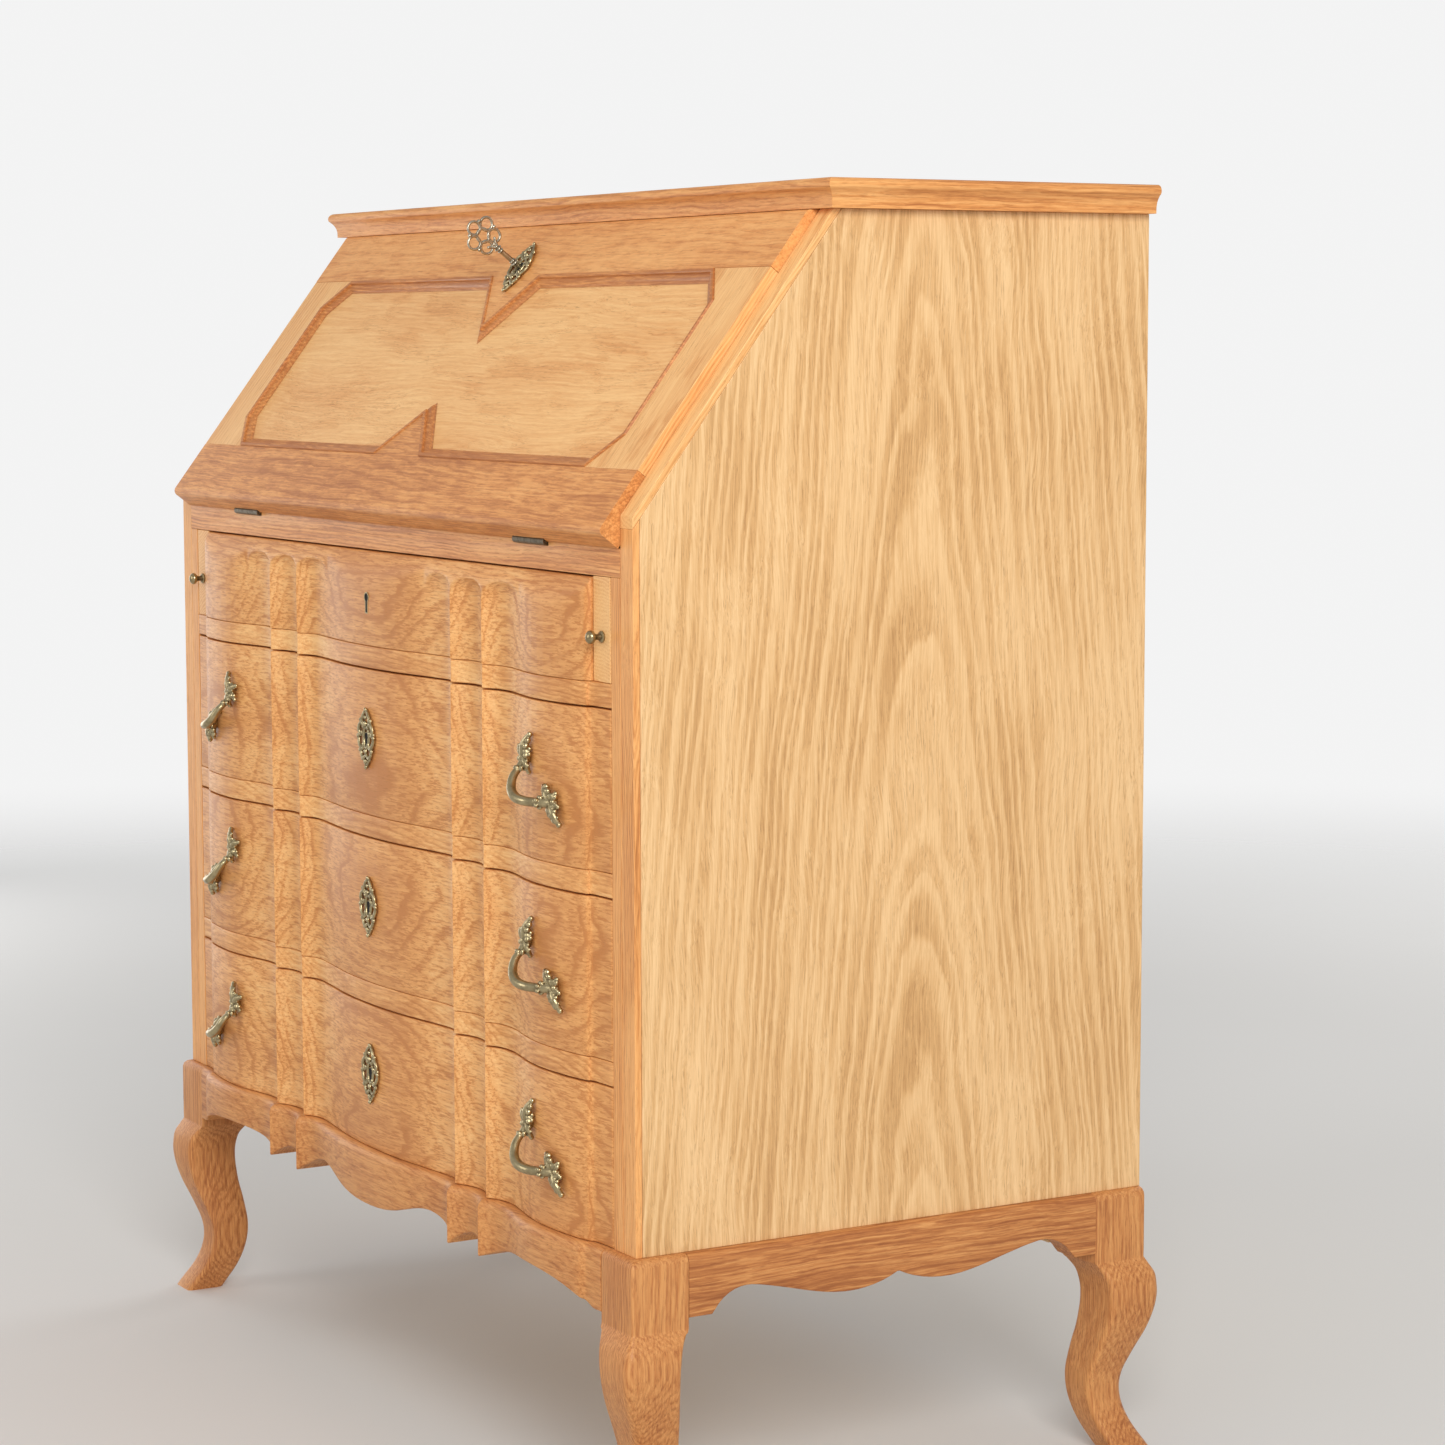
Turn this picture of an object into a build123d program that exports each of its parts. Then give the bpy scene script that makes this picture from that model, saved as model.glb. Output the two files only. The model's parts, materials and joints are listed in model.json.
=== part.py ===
from build123d import *
from math import cos, radians, sin, tan
import os

# Slant-front secretary desk on cabriole legs.  Millimetres, +Z up, floor at Z = 0.
# X runs across the front, the front faces -Y, and the origin is under the centre of the whole box.

# ---------------------------------------------------------------- driving dimensions
CASE_W = 902.0  # over the side panels
CASE_D = 477.0  # front plane to back
CASE_H = 800.0  # side panels
BASE_H = 225.0  # floor to the underside of the case
TOP_T = 23.0
FRAME_Y = 14.14  # moves the case back so that pulls and legs balance about the origin

PANEL_T = 20.0
BACK_T = 9.0
STILE_W = 15.0
STILE_D = 25.0
DRAWER_H = 127.7
BLADE_T = 18.7
BLADE_D = 60.0
RAIL_TOP = 543.1  # writing height above the case's underside
RAIL_T = 22.2
RAIL_D = 70.0
SLOPE_START = 568.0  # where the side panels' slope begins, above the case's underside
SLOPE_DEG = 52.7
LIPPING_T = 6.0

BASE_PROUD = 8.0  # base frame beyond the case at the front and sides
POST = 50.0
POST_DROP = 58.0
APRON_T = 25.0
BASE_EDGE_R = 6.0

LID_T = 22.0
LID_GAP = 0.8
LID_CLEAR_TOP = 0.5
PANEL_RECESS = 5.0
MOULDING_W = 10.0

GAP = 0.3  # between pieces that slide on each other
JOINT = 0.2  # glue line between boards of one assembly
DRAWER_SIDE_GAP = 0.6
DRAWER_TOP_GAP = 1.6
FRONT_T = 22.0  # drawer front, behind the flat parts of its face
BOX_SIDE_T = 10.0
BOX_BOTTOM_T = 6.0

LOPER_W = 27.0
LOPER_L = 400.0

# ---------------------------------------------------------------- derived places
FRONT = -CASE_D / 2 + FRAME_Y
BACK = CASE_D / 2 + FRAME_Y
CASE_Z = BASE_H
CASE_TOP = BASE_H + CASE_H
RAIL_Z1 = CASE_Z + RAIL_TOP
RAIL_Z0 = RAIL_Z1 - RAIL_T
INNER_X = CASE_W / 2 - PANEL_T
STILE_X = INNER_X - STILE_W
INNER_BACK = BACK - BACK_T
PITCH = DRAWER_H + BLADE_T
POST_X = CASE_W / 2 + BASE_PROUD
POST_IN = POST_X - POST
POST_Y = FRONT - BASE_PROUD

SLOPE = radians(SLOPE_DEG)
PIVOT_Y = FRONT - 1.3
PIVOT_Z = RAIL_Z1
LID_PLANE = Plane(origin=(0, PIVOT_Y, PIVOT_Z), x_dir=(1, 0, 0), z_dir=(0, -sin(SLOPE), cos(SLOPE)))
LID_X = INNER_X - LID_GAP
LID_LEN = (CASE_TOP - PIVOT_Z) / sin(SLOPE)
LID_TOP_Z = CASE_TOP - LID_CLEAR_TOP

LOPER_X1 = STILE_X - 1.5
LOPER_X0 = LOPER_X1 - LOPER_W
PARTITION_X1 = LOPER_X0 - 3.0
PARTITION_X0 = PARTITION_X1 - 12.0
TOP_FRONT_X = LOPER_X0 - 1.0

os.makedirs("parts", exist_ok=True)


def save(part, name):
    """Label a finished piece and write it to its own file."""
    part.label = name
    export_step(part, "parts/" + name + ".step")


def block(x0, x1, y0, y1, z0, z1, mode=Mode.ADD):
    """Add or cut a rectangular block between two corners in the open part."""
    with Locations(((x0 + x1) / 2, (y0 + y1) / 2, (z0 + z1) / 2)):
        Box(x1 - x0, y1 - y0, z1 - z0, mode=mode)


def lid_block(x0, x1, s0, s1, n0, n1, mode=Mode.ADD):
    """The same, in the closed lid's plane: s runs up the slope, n out of the lid."""
    with BuildSketch(LID_PLANE.offset(n0)) as footprint:
        with Locations(((x0 + x1) / 2, (s0 + s1) / 2)):
            Rectangle(x1 - x0, s1 - s0)
    extrude(footprint.sketch, amount=n1 - n0, mode=mode)


# ---------------------------------------------------------------- the serpentine front
CENTRE_OUT = 13.5
INNER_RIDGE = (157.0, 10.5)
OUTER_RIDGE = (216.0, 11.0)
FLUTE_FLOOR = 1.2


def serpentine_face(grow, back_y):
    """Plan of the carved front: centre bulge, two sharp ridges a side, outer lobe, flat ends."""

    def at(x, out):
        return (x, FRONT - grow - out)

    with BuildLine() as outline:
        bulge = [at(0, CENTRE_OUT), at(67, 10), at(124, 2.6), at(144, 3.4), at(*INNER_RIDGE)]
        Spline(*bulge, tangents=[(1, 0), (0.7, -0.7)])
        middle = (INNER_RIDGE[0] + OUTER_RIDGE[0]) / 2
        ThreePointArc(at(*INNER_RIDGE), at(middle, FLUTE_FLOOR), at(*OUTER_RIDGE))
        lobe = [at(*OUTER_RIDGE), at(242, 2.4), at(277, 7.5), at(328, 12.7), at(385, 4.8), at(STILE_X, 0)]
        Spline(*lobe, tangents=[(0.7, 0.7), (1, 0.05)])
        Polyline(at(STILE_X, 0), (STILE_X, back_y), (0, back_y))
        mirror(about=Plane.YZ)
    make_face(outline.edges())


# ---------------------------------------------------------------- legs and base frame
# height above the case's underside, outward offset from the post's faces, section size
LEG_SECTIONS = [
    (-POST_DROP, 0.0, 50.0),
    (-70.0, 7.5, 50.0),
    (-90.0, 9.7, 49.0),
    (-112.0, 6.5, 46.5),
    (-138.0, -4.0, 41.0),
    (-168.0, -12.2, 35.8),
    (-198.0, -6.0, 35.3),
    (-BASE_H, 8.5, 36.5),
]
LEG_ARRIS_R = 4.0


def leg(side_x, outer_y, side_y):
    """Square cabriole leg with its post, curving out along the diagonal."""
    with BuildPart() as piece:
        with BuildSketch(Plane.XY.offset(CASE_Z - POST_DROP)):
            with Locations((side_x * (POST_X - POST / 2), outer_y - side_y * POST / 2)):
                Rectangle(POST, POST)
        extrude(amount=POST_DROP)
        top = piece.faces().sort_by(Axis.Z)[-1].edges()
        outer = top.filter_by(Axis.Y).sort_by(Axis.X)[-1 if side_x > 0 else 0]
        if side_y < 0:
            fillet([outer, top.filter_by(Axis.X).sort_by(Axis.Y)[0]], radius=BASE_EDGE_R)
        else:
            fillet(outer, radius=BASE_EDGE_R)
        for height, out, size in LEG_SECTIONS:
            centre_x = side_x * (POST_X + out - size / 2)
            centre_y = outer_y + side_y * (out - size / 2)
            with BuildSketch(Plane(origin=(centre_x, centre_y, CASE_Z + height))):
                RectangleRounded(size, size, LEG_ARRIS_R)
        loft()
    return piece.part


save(leg(-1, POST_Y, -1), "front_left_leg")
save(leg(1, POST_Y, -1), "front_right_leg")
save(leg(-1, BACK, 1), "rear_left_leg")
save(leg(1, BACK, 1), "rear_right_leg")

APRON_DEEP = 60.0
APRON_END = -50.0

with BuildPart() as front_apron:
    with BuildSketch(Plane.XY.offset(CASE_Z - APRON_DEEP)):
        serpentine_face(BASE_PROUD, FRONT + APRON_T - BASE_PROUD)
    extrude(amount=APRON_DEEP)
    with BuildSketch(Plane.XZ):
        with BuildLine():
            # lower edge: centre lobe, cusps under the ridges, shallow outer arch down to the posts
            Spline(
                (0, CASE_Z - 47.5),
                (58, CASE_Z - 42),
                (108, CASE_Z - 32),
                (157, CASE_Z - 49),
                tangents=[(1, 0), (0.8, -0.6)],
            )
            ThreePointArc((157, CASE_Z - 49), (187, CASE_Z - 35.5), (216, CASE_Z - 47))
            Spline(
                (216, CASE_Z - 47),
                (250, CASE_Z - 37),
                (300, CASE_Z - 32),
                (365, CASE_Z - 38),
                (POST_IN - 12, CASE_Z + APRON_END),
            )
            Polyline(
                (POST_IN - 12, CASE_Z + APRON_END),
                (POST_IN - JOINT, CASE_Z + APRON_END),
                (POST_IN - JOINT, CASE_Z),
                (0, CASE_Z),
            )
            mirror(about=Plane.YZ)
        make_face()
    extrude(amount=CASE_D, both=True, mode=Mode.INTERSECT)
save(front_apron.part, "front_apron")

SIDE_FRONT = POST_Y + POST + JOINT
SIDE_REAR = BACK - POST - JOINT
SIDE_MID = (SIDE_FRONT + SIDE_REAR) / 2
SIDE_HALF = (SIDE_REAR - SIDE_FRONT) / 2

with BuildPart() as side_aprons:
    for plane_x in (-POST_X, POST_X - APRON_T):
        with BuildSketch(Plane.YZ.offset(plane_x)):
            with BuildLine():
                # half of the lower edge, from the middle cusp to the post
                Spline(
                    (SIDE_MID, CASE_Z - 38),
                    (SIDE_MID + 18, CASE_Z - 45),
                    (SIDE_MID + 50, CASE_Z - 48.5),
                    (SIDE_MID + 98, CASE_Z - 39.5),
                    (SIDE_MID + 136, CASE_Z - 31.2),
                )
                ThreePointArc(
                    (SIDE_MID + 136, CASE_Z - 31.2),
                    (SIDE_MID + 160, CASE_Z - 37.5),
                    (SIDE_MID + 171, CASE_Z + APRON_END),
                )
                Polyline(
                    (SIDE_MID + 171, CASE_Z + APRON_END),
                    (SIDE_MID + SIDE_HALF, CASE_Z + APRON_END),
                    (SIDE_MID + SIDE_HALF, CASE_Z),
                    (SIDE_MID, CASE_Z),
                )
                mirror(about=Plane.YZ.offset(SIDE_MID))
            make_face()
        extrude(amount=APRON_T)
    rims = side_aprons.edges().filter_by(Axis.Y).group_by(Axis.Z)[-1].sort_by(Axis.X)
    fillet([rims[0], rims[-1]], radius=BASE_EDGE_R)
save(side_aprons.part, "side_aprons")

with BuildPart() as rear_base_rail:
    block(-POST_IN + JOINT, POST_IN - JOINT, BACK - APRON_T, BACK, CASE_Z + APRON_END, CASE_Z)
save(rear_base_rail.part, "rear_base_rail")

BLOCK_SIZE = 30.0
with BuildPart() as base_corner_blocks:
    for side_x in (-1, 1):
        block_x = side_x * (POST_X - APRON_T - JOINT - BLOCK_SIZE / 2)
        for block_y in (POST_Y + POST + JOINT + BLOCK_SIZE / 2, BACK - POST - JOINT - BLOCK_SIZE / 2):
            with BuildSketch(Plane(origin=(block_x, block_y, CASE_Z - 42))):
                Rectangle(BLOCK_SIZE, BLOCK_SIZE)
            extrude(amount=40)
save(base_corner_blocks.part, "base_corner_blocks")

# ---------------------------------------------------------------- case
SLOPE_RUN = (CASE_H - SLOPE_START) / tan(SLOPE)
LIP_DROP = LIPPING_T / cos(SLOPE)
LIP_BACK = LIPPING_T / sin(SLOPE)
SLOPE_Z = CASE_Z + SLOPE_START


def side_panel(plane_x):
    """Side panel behind its lippings, with the writing slope at its upper front."""
    with BuildPart() as piece:
        with BuildSketch(Plane.YZ.offset(plane_x)):
            with BuildLine():
                Polyline(
                    (FRONT + LIPPING_T, CASE_Z),
                    (FRONT + LIPPING_T, SLOPE_Z - LIP_DROP + LIPPING_T * tan(SLOPE)),
                    (FRONT + SLOPE_RUN + LIP_BACK, CASE_TOP),
                    (BACK, CASE_TOP),
                    (BACK, CASE_Z),
                    close=True,
                )
            make_face()
        extrude(amount=PANEL_T)
    return piece.part


save(side_panel(-CASE_W / 2), "left_side_panel")
save(side_panel(CASE_W / 2 - PANEL_T), "right_side_panel")

with BuildPart() as panel_edge_lippings:
    upright_t = LIPPING_T - JOINT
    for plane_x in (-CASE_W / 2, CASE_W / 2 - PANEL_T):
        with BuildSketch(Plane.YZ.offset(plane_x)):
            with BuildLine():
                Polyline(
                    (FRONT, CASE_Z),
                    (FRONT + upright_t, CASE_Z),
                    (FRONT + upright_t, SLOPE_Z - LIP_DROP + upright_t * tan(SLOPE) - JOINT),
                    (FRONT, SLOPE_Z - LIP_DROP - JOINT),
                    close=True,
                )
            make_face()
            with BuildLine():
                Polyline(
                    (FRONT, SLOPE_Z - LIP_DROP),
                    (FRONT, SLOPE_Z),
                    (FRONT + SLOPE_RUN, CASE_TOP),
                    (FRONT + SLOPE_RUN + LIP_BACK - JOINT, CASE_TOP),
                    close=True,
                )
            make_face()
        extrude(amount=PANEL_T)
save(panel_edge_lippings.part, "panel_edge_lippings")

TOP_OVERHANG = 9.4  # lower edge of the top board beyond the panels
NOSE = 6.8  # nose beyond the lower edge
NOSE_ARC_R = 5.0
TOP_FRONT = FRONT + 169.8
TOP_SIDE = CASE_W / 2 + TOP_OVERHANG


def top_edge(x, z, out):
    """Moulded edge of the top board from its lower arris to its upper one; out is +1 or -1."""
    Line((x, z), (x, z + 3.5))
    ThreePointArc((x, z + 3.5), (x + out * 2.1, z + 11.0), (x + out * 6.2, z + 15.6))
    nose_x = x + out * (NOSE - NOSE_ARC_R)
    nose_mid = (nose_x + out * NOSE_ARC_R * cos(radians(30)), z + TOP_T - NOSE_ARC_R / 2)
    ThreePointArc((x + out * 6.2, z + 15.6), nose_mid, (nose_x, z + TOP_T))


with BuildPart() as top_board:
    with BuildSketch(Plane.YZ):
        with BuildLine():
            top_edge(TOP_FRONT, CASE_TOP, -1)
            Polyline(
                (TOP_FRONT - NOSE + NOSE_ARC_R, CASE_TOP + TOP_T),
                (BACK, CASE_TOP + TOP_T),
                (BACK, CASE_TOP),
                (TOP_FRONT, CASE_TOP),
            )
        make_face()
    extrude(amount=CASE_W, both=True)
    with BuildSketch(Plane.XZ):
        with BuildLine():
            top_edge(TOP_SIDE, CASE_TOP, 1)
            Line((TOP_SIDE + NOSE - NOSE_ARC_R, CASE_TOP + TOP_T), (0, CASE_TOP + TOP_T))
            Line((TOP_SIDE, CASE_TOP), (0, CASE_TOP))
            mirror(about=Plane.YZ)
        make_face()
    extrude(amount=CASE_D, both=True, mode=Mode.INTERSECT)
    # mortise for the lid's bolt, behind the strike plate
    block(-14, 14, FRONT + 182, FRONT + 204, CASE_TOP, CASE_TOP + 10, mode=Mode.SUBTRACT)
    # rebate that takes the strike plate
    block(-32, 32, FRONT + 172.2, FRONT + 200.2, CASE_TOP, CASE_TOP + 1.6, mode=Mode.SUBTRACT)
save(top_board.part, "top_board")

BOTTOM_T = 14.0
BOARD_FRONT = FRONT + STILE_D + JOINT
with BuildPart() as bottom_board:
    block(-INNER_X + JOINT, INNER_X - JOINT, BOARD_FRONT, INNER_BACK - JOINT, CASE_Z, CASE_Z + BOTTOM_T)
save(bottom_board.part, "bottom_board")

with BuildPart() as back_panel:
    block(-INNER_X + JOINT, INNER_X - JOINT, INNER_BACK, BACK, CASE_Z, CASE_TOP - JOINT)
save(back_panel.part, "back_panel")

with BuildPart() as front_stiles:
    for side_x in (-1, 1):
        stile_mid = side_x * (STILE_X + INNER_X - JOINT) / 2
        with BuildSketch(Plane(origin=(stile_mid, FRONT + STILE_D / 2, CASE_Z))):
            Rectangle(STILE_W - JOINT, STILE_D)
        extrude(amount=RAIL_Z0 - CASE_Z - JOINT)
save(front_stiles.part, "front_stiles")

# ---------------------------------------------------------------- hinges
HINGE_X = 286.0
HINGE_W = 54.0
BARREL_R = 3.2
PIN_R = 1.25
PIN_CLEAR = 0.06
RECESS_R = BARREL_R + 0.5
LEAF_T = 1.8
LEAF_REACH = 24.0
KNUCKLES = 5


def barrel_recess():
    """Cut the hollow that both hinge barrels lie in."""
    for centre_x in (-HINGE_X, HINGE_X):
        with BuildSketch(Plane.YZ.offset(centre_x - HINGE_W / 2 - 0.5)) as round_cut:
            with Locations((PIVOT_Y, PIVOT_Z)):
                Circle(RECESS_R)
        extrude(round_cut.sketch, amount=HINGE_W + 1.0, mode=Mode.SUBTRACT)


def knuckle(centre_x, index):
    """One knuckle of a hinge, bored for the pin; knuckle 0 is the left one."""
    pitch = HINGE_W / KNUCKLES
    left = centre_x - HINGE_W / 2 + index * pitch + GAP / 2
    with BuildSketch(Plane.YZ.offset(left)) as ring:
        with Locations((PIVOT_Y, PIVOT_Z)):
            Circle(BARREL_R)
    extrude(ring.sketch, amount=pitch - GAP)
    return left, pitch - GAP


with BuildPart() as writing_rail:
    block(-INNER_X + JOINT, INNER_X - JOINT, FRONT, FRONT + RAIL_D, RAIL_Z0, RAIL_Z1)
    barrel_recess()
    for centre_x in (-HINGE_X, HINGE_X):
        block(
            centre_x - HINGE_W / 2 - JOINT,
            centre_x + HINGE_W / 2 + JOINT,
            FRONT,
            FRONT + LEAF_REACH + JOINT,
            RAIL_Z1 - LEAF_T,
            RAIL_Z1,
            mode=Mode.SUBTRACT,
        )
    # mortise for the top drawer's lock bolt
    block(-12, 12, FRONT + 4, FRONT + 14, RAIL_Z0, RAIL_Z0 + 9, mode=Mode.SUBTRACT)
save(writing_rail.part, "writing_rail")

with BuildPart() as hinge_case_leaves:
    for centre_x in (-HINGE_X, HINGE_X):
        for index in range(0, KNUCKLES, 2):
            left, length = knuckle(centre_x, index)
            block(left, left + length, PIVOT_Y, FRONT + 2, RAIL_Z1 - LEAF_T, RAIL_Z1)
        block(
            centre_x - HINGE_W / 2,
            centre_x + HINGE_W / 2,
            PIVOT_Y + RECESS_R + 0.2,
            FRONT + LEAF_REACH,
            RAIL_Z1 - LEAF_T,
            RAIL_Z1,
        )
        for index in range(0, KNUCKLES, 2):
            left = centre_x - HINGE_W / 2 + index * HINGE_W / KNUCKLES + GAP / 2
            length = HINGE_W / KNUCKLES - GAP
            block(left, left + length, FRONT, FRONT + 5, RAIL_Z1 - LEAF_T, RAIL_Z1)
        # the pin is fast in the case leaf's knuckles
        with BuildSketch(Plane.YZ.offset(centre_x - HINGE_W / 2)):
            with Locations((PIVOT_Y, PIVOT_Z)):
                Circle(PIN_R)
        extrude(amount=HINGE_W)
save(hinge_case_leaves.part, "hinge_case_leaves")

with BuildPart() as writing_bed:
    block(
        -INNER_X + JOINT,
        INNER_X - JOINT,
        FRONT + RAIL_D + JOINT,
        INNER_BACK - JOINT,
        RAIL_Z0,
        RAIL_Z1,
    )
save(writing_bed.part, "writing_bed")

BOLT_MORTISE = 8.0
with BuildPart() as drawer_blades:
    for level in range(3):
        blade_z = CASE_Z + DRAWER_H + level * PITCH
        with BuildSketch(Plane.XY.offset(blade_z)):
            serpentine_face(0, FRONT + BLADE_D)
        extrude(amount=BLADE_T)
        blade_top = blade_z + BLADE_T
        block(-12, 12, FRONT + 4, FRONT + 14, blade_z, blade_z + BOLT_MORTISE, mode=Mode.SUBTRACT)
        for x0, x1 in ((-CASE_W, -STILE_X + JOINT), (STILE_X - JOINT, CASE_W)):
            block(x0, x1, FRONT - 30, FRONT + 90, blade_z, blade_top, mode=Mode.SUBTRACT)
save(drawer_blades.part, "drawer_blades")

RUNNER_W = 50.0
GUIDE_H = 22.0
RUNNER_FRONT = FRONT + BLADE_D + JOINT
GUIDE_X0 = STILE_X + 0.4
with BuildPart() as drawer_runners:
    runner_y = (RUNNER_FRONT + INNER_BACK - JOINT) / 2
    runner_l = INNER_BACK - JOINT - RUNNER_FRONT
    guide_w = INNER_X - JOINT - GUIDE_X0
    for side_x in (-1, 1):
        runner_mid = side_x * (INNER_X - JOINT - RUNNER_W / 2)
        guide_mid = side_x * (GUIDE_X0 + guide_w / 2)
        for level in range(3):
            runner_z = CASE_Z + DRAWER_H + level * PITCH
            with BuildSketch(Plane(origin=(runner_mid, runner_y, runner_z))):
                Rectangle(RUNNER_W, runner_l)
            extrude(amount=BLADE_T)
            with BuildSketch(Plane(origin=(guide_mid, runner_y, runner_z + BLADE_T + JOINT))):
                Rectangle(guide_w, runner_l)
            extrude(amount=GUIDE_H)
        with BuildSketch(Plane(origin=(guide_mid, runner_y, CASE_Z + BOTTOM_T + JOINT))):
            Rectangle(guide_w, runner_l)
        extrude(amount=GUIDE_H)
save(drawer_runners.part, "drawer_runners")

TOP_OPENING_Z = CASE_Z + 3 * PITCH
with BuildPart() as loper_partitions:
    for x0 in (-PARTITION_X1, PARTITION_X0):
        block(
            x0,
            x0 + PARTITION_X1 - PARTITION_X0,
            FRONT + FRONT_T + 3,
            INNER_BACK - JOINT,
            TOP_OPENING_Z + JOINT,
            RAIL_Z0 - JOINT,
        )
save(loper_partitions.part, "loper_partitions")

# ---------------------------------------------------------------- interior behind the lid
GALLERY_D = 165.0
GALLERY_FRONT = INNER_BACK - JOINT - GALLERY_D
GALLERY_T = 9.0
BAY_X = 148.0  # inner faces of the side bays' partitions
SMALL_DRAWER_H = 62.0
SHELF_1_Z = RAIL_Z1 + SMALL_DRAWER_H
SHELF_2_Z = SHELF_1_Z + GALLERY_T + 84.0

with BuildPart() as gallery_boards:
    for side_x in (-1, 1):
        partition_x = side_x * (BAY_X - GALLERY_T / 2)
        shelf_x0, shelf_x1 = sorted((side_x * (BAY_X + JOINT), side_x * (INNER_X - JOINT)))
        block(
            partition_x - GALLERY_T / 2,
            partition_x + GALLERY_T / 2,
            GALLERY_FRONT,
            INNER_BACK - JOINT,
            RAIL_Z1 + JOINT,
            CASE_TOP - JOINT,
        )
        for shelf_z in (SHELF_1_Z, SHELF_2_Z):
            block(shelf_x0, shelf_x1, GALLERY_FRONT, INNER_BACK - JOINT, shelf_z, shelf_z + GALLERY_T)
save(gallery_boards.part, "gallery_boards")

LID_STOP_W = 40.0
with BuildPart() as lid_stop_rail:
    # glued under the top board, behind the closed lid
    stop_y = FRONT + 204.5
    block(-INNER_X + JOINT, INNER_X - JOINT, stop_y, stop_y + LID_STOP_W, CASE_TOP - 15.0, CASE_TOP - JOINT)
save(lid_stop_rail.part, "lid_stop_rail")

with BuildPart() as lid_strike_plate:
    block(-31.5, 31.5, FRONT + 172.5, FRONT + 200, CASE_TOP, CASE_TOP + 1.4)
    block(-12, 12, FRONT + 178.5, FRONT + 195, CASE_TOP, CASE_TOP + 1.4, mode=Mode.SUBTRACT)
save(lid_strike_plate.part, "lid_strike_plate")

# ---------------------------------------------------------------- lid
# opening for the field, in the lid's plane: clipped corners, and a point in the middle of
# the top and bottom edges
FIELD_X = 376.0
FIELD_CLIP = 32.0
FIELD_BOTTOM = 57.0
FIELD_TOP = 251.0
POINT_HALF = 45.0
POINT_TOP = 198.0
POINT_BOTTOM = 100.0
FIELD_RIGHT = [
    (0, POINT_TOP),
    (POINT_HALF, FIELD_TOP),
    (FIELD_X - FIELD_CLIP, FIELD_TOP),
    (FIELD_X, FIELD_TOP - FIELD_CLIP),
    (FIELD_X, FIELD_BOTTOM + FIELD_CLIP),
    (FIELD_X - FIELD_CLIP, FIELD_BOTTOM),
    (POINT_HALF, FIELD_BOTTOM),
    (0, POINT_BOTTOM),
]
NOSE_R = 5.0
KEY_S = 258.0  # keyhole, up the slope from the hinge line
KEYHOLE_R = 3.0
LOCK_HALF = 31.0
LOCK_S0 = 236.0
LOCK_T = 13.0


def field_face():
    """The field's outline as a closed face."""
    with BuildLine() as outline:
        Polyline(*FIELD_RIGHT)
        mirror(about=Plane.YZ)
    make_face(outline.edges())


def trim_lid_top():
    """Cut the lid's upper end level with the top board's underside."""
    split(bisect_by=Plane.XY.offset(LID_TOP_Z), keep=Keep.BOTTOM)


def lid_point(tip_s, edge_s):
    """Pointed tongue in the middle of a rail, in the open sketch."""
    with BuildLine() as outline:
        Polyline((-POINT_HALF, edge_s), (0, tip_s), (POINT_HALF, edge_s), close=True)
    make_face(outline.edges())


with BuildPart() as lid_rails:
    for s0, s1, tip_s in ((0, FIELD_BOTTOM, POINT_BOTTOM), (FIELD_TOP, LID_LEN, POINT_TOP)):
        with BuildSketch(LID_PLANE):
            with Locations((0, (s0 + s1) / 2)):
                Rectangle(2 * LID_X, s1 - s0)
            lid_point(tip_s, FIELD_BOTTOM if s0 == 0 else FIELD_TOP)
        extrude(amount=LID_T)
    trim_lid_top()
    fillet(lid_rails.edges().filter_by(Axis.X).sort_by(Axis.Y)[0], radius=NOSE_R)
    fillet(lid_rails.edges().filter_by(Axis.X).group_by(Axis.Z)[-1].sort_by(Axis.Y)[0], radius=NOSE_R)
    barrel_recess()
    for centre_x in (-HINGE_X, HINGE_X):
        lid_block(
            centre_x - HINGE_W / 2 - JOINT,
            centre_x + HINGE_W / 2 + JOINT,
            0,
            LEAF_REACH + JOINT,
            0,
            LEAF_T,
            mode=Mode.SUBTRACT,
        )
    pocket_x = LOCK_HALF + JOINT
    lid_block(-pocket_x, pocket_x, LOCK_S0 - JOINT, LID_LEN, 0, LOCK_T + JOINT, mode=Mode.SUBTRACT)
    with BuildSketch(LID_PLANE):
        with Locations((0, KEY_S)):
            Circle(KEYHOLE_R)
    extrude(amount=LID_T, mode=Mode.SUBTRACT)
save(lid_rails.part, "lid_rails")

with BuildPart() as lid_stiles:
    # between the rails, with the corner triangles that clip the field
    for side_x in (-1, 1):
        stile_x0 = FIELD_X - FIELD_CLIP - JOINT
        with BuildSketch(LID_PLANE):
            with Locations((side_x * (stile_x0 + LID_X) / 2, (FIELD_BOTTOM + FIELD_TOP) / 2)):
                Rectangle(LID_X - stile_x0, FIELD_TOP - FIELD_BOTTOM - 2 * JOINT)
            with BuildLine() as outline:
                Polyline(*FIELD_RIGHT)
                mirror(about=Plane.YZ)
            make_face(outline.edges(), mode=Mode.SUBTRACT)
        extrude(amount=LID_T)
save(lid_stiles.part, "lid_stiles")

with BuildPart() as lid_panel:
    with BuildSketch(LID_PLANE):
        field_face()
        offset(amount=-JOINT, kind=Kind.INTERSECTION, mode=Mode.REPLACE)
    extrude(amount=LID_T - PANEL_RECESS)
    pocket_x = LOCK_HALF + JOINT
    lid_block(-pocket_x, pocket_x, LOCK_S0 - JOINT, LID_LEN, 0, LOCK_T + JOINT, mode=Mode.SUBTRACT)
save(lid_panel.part, "lid_panel")

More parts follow.
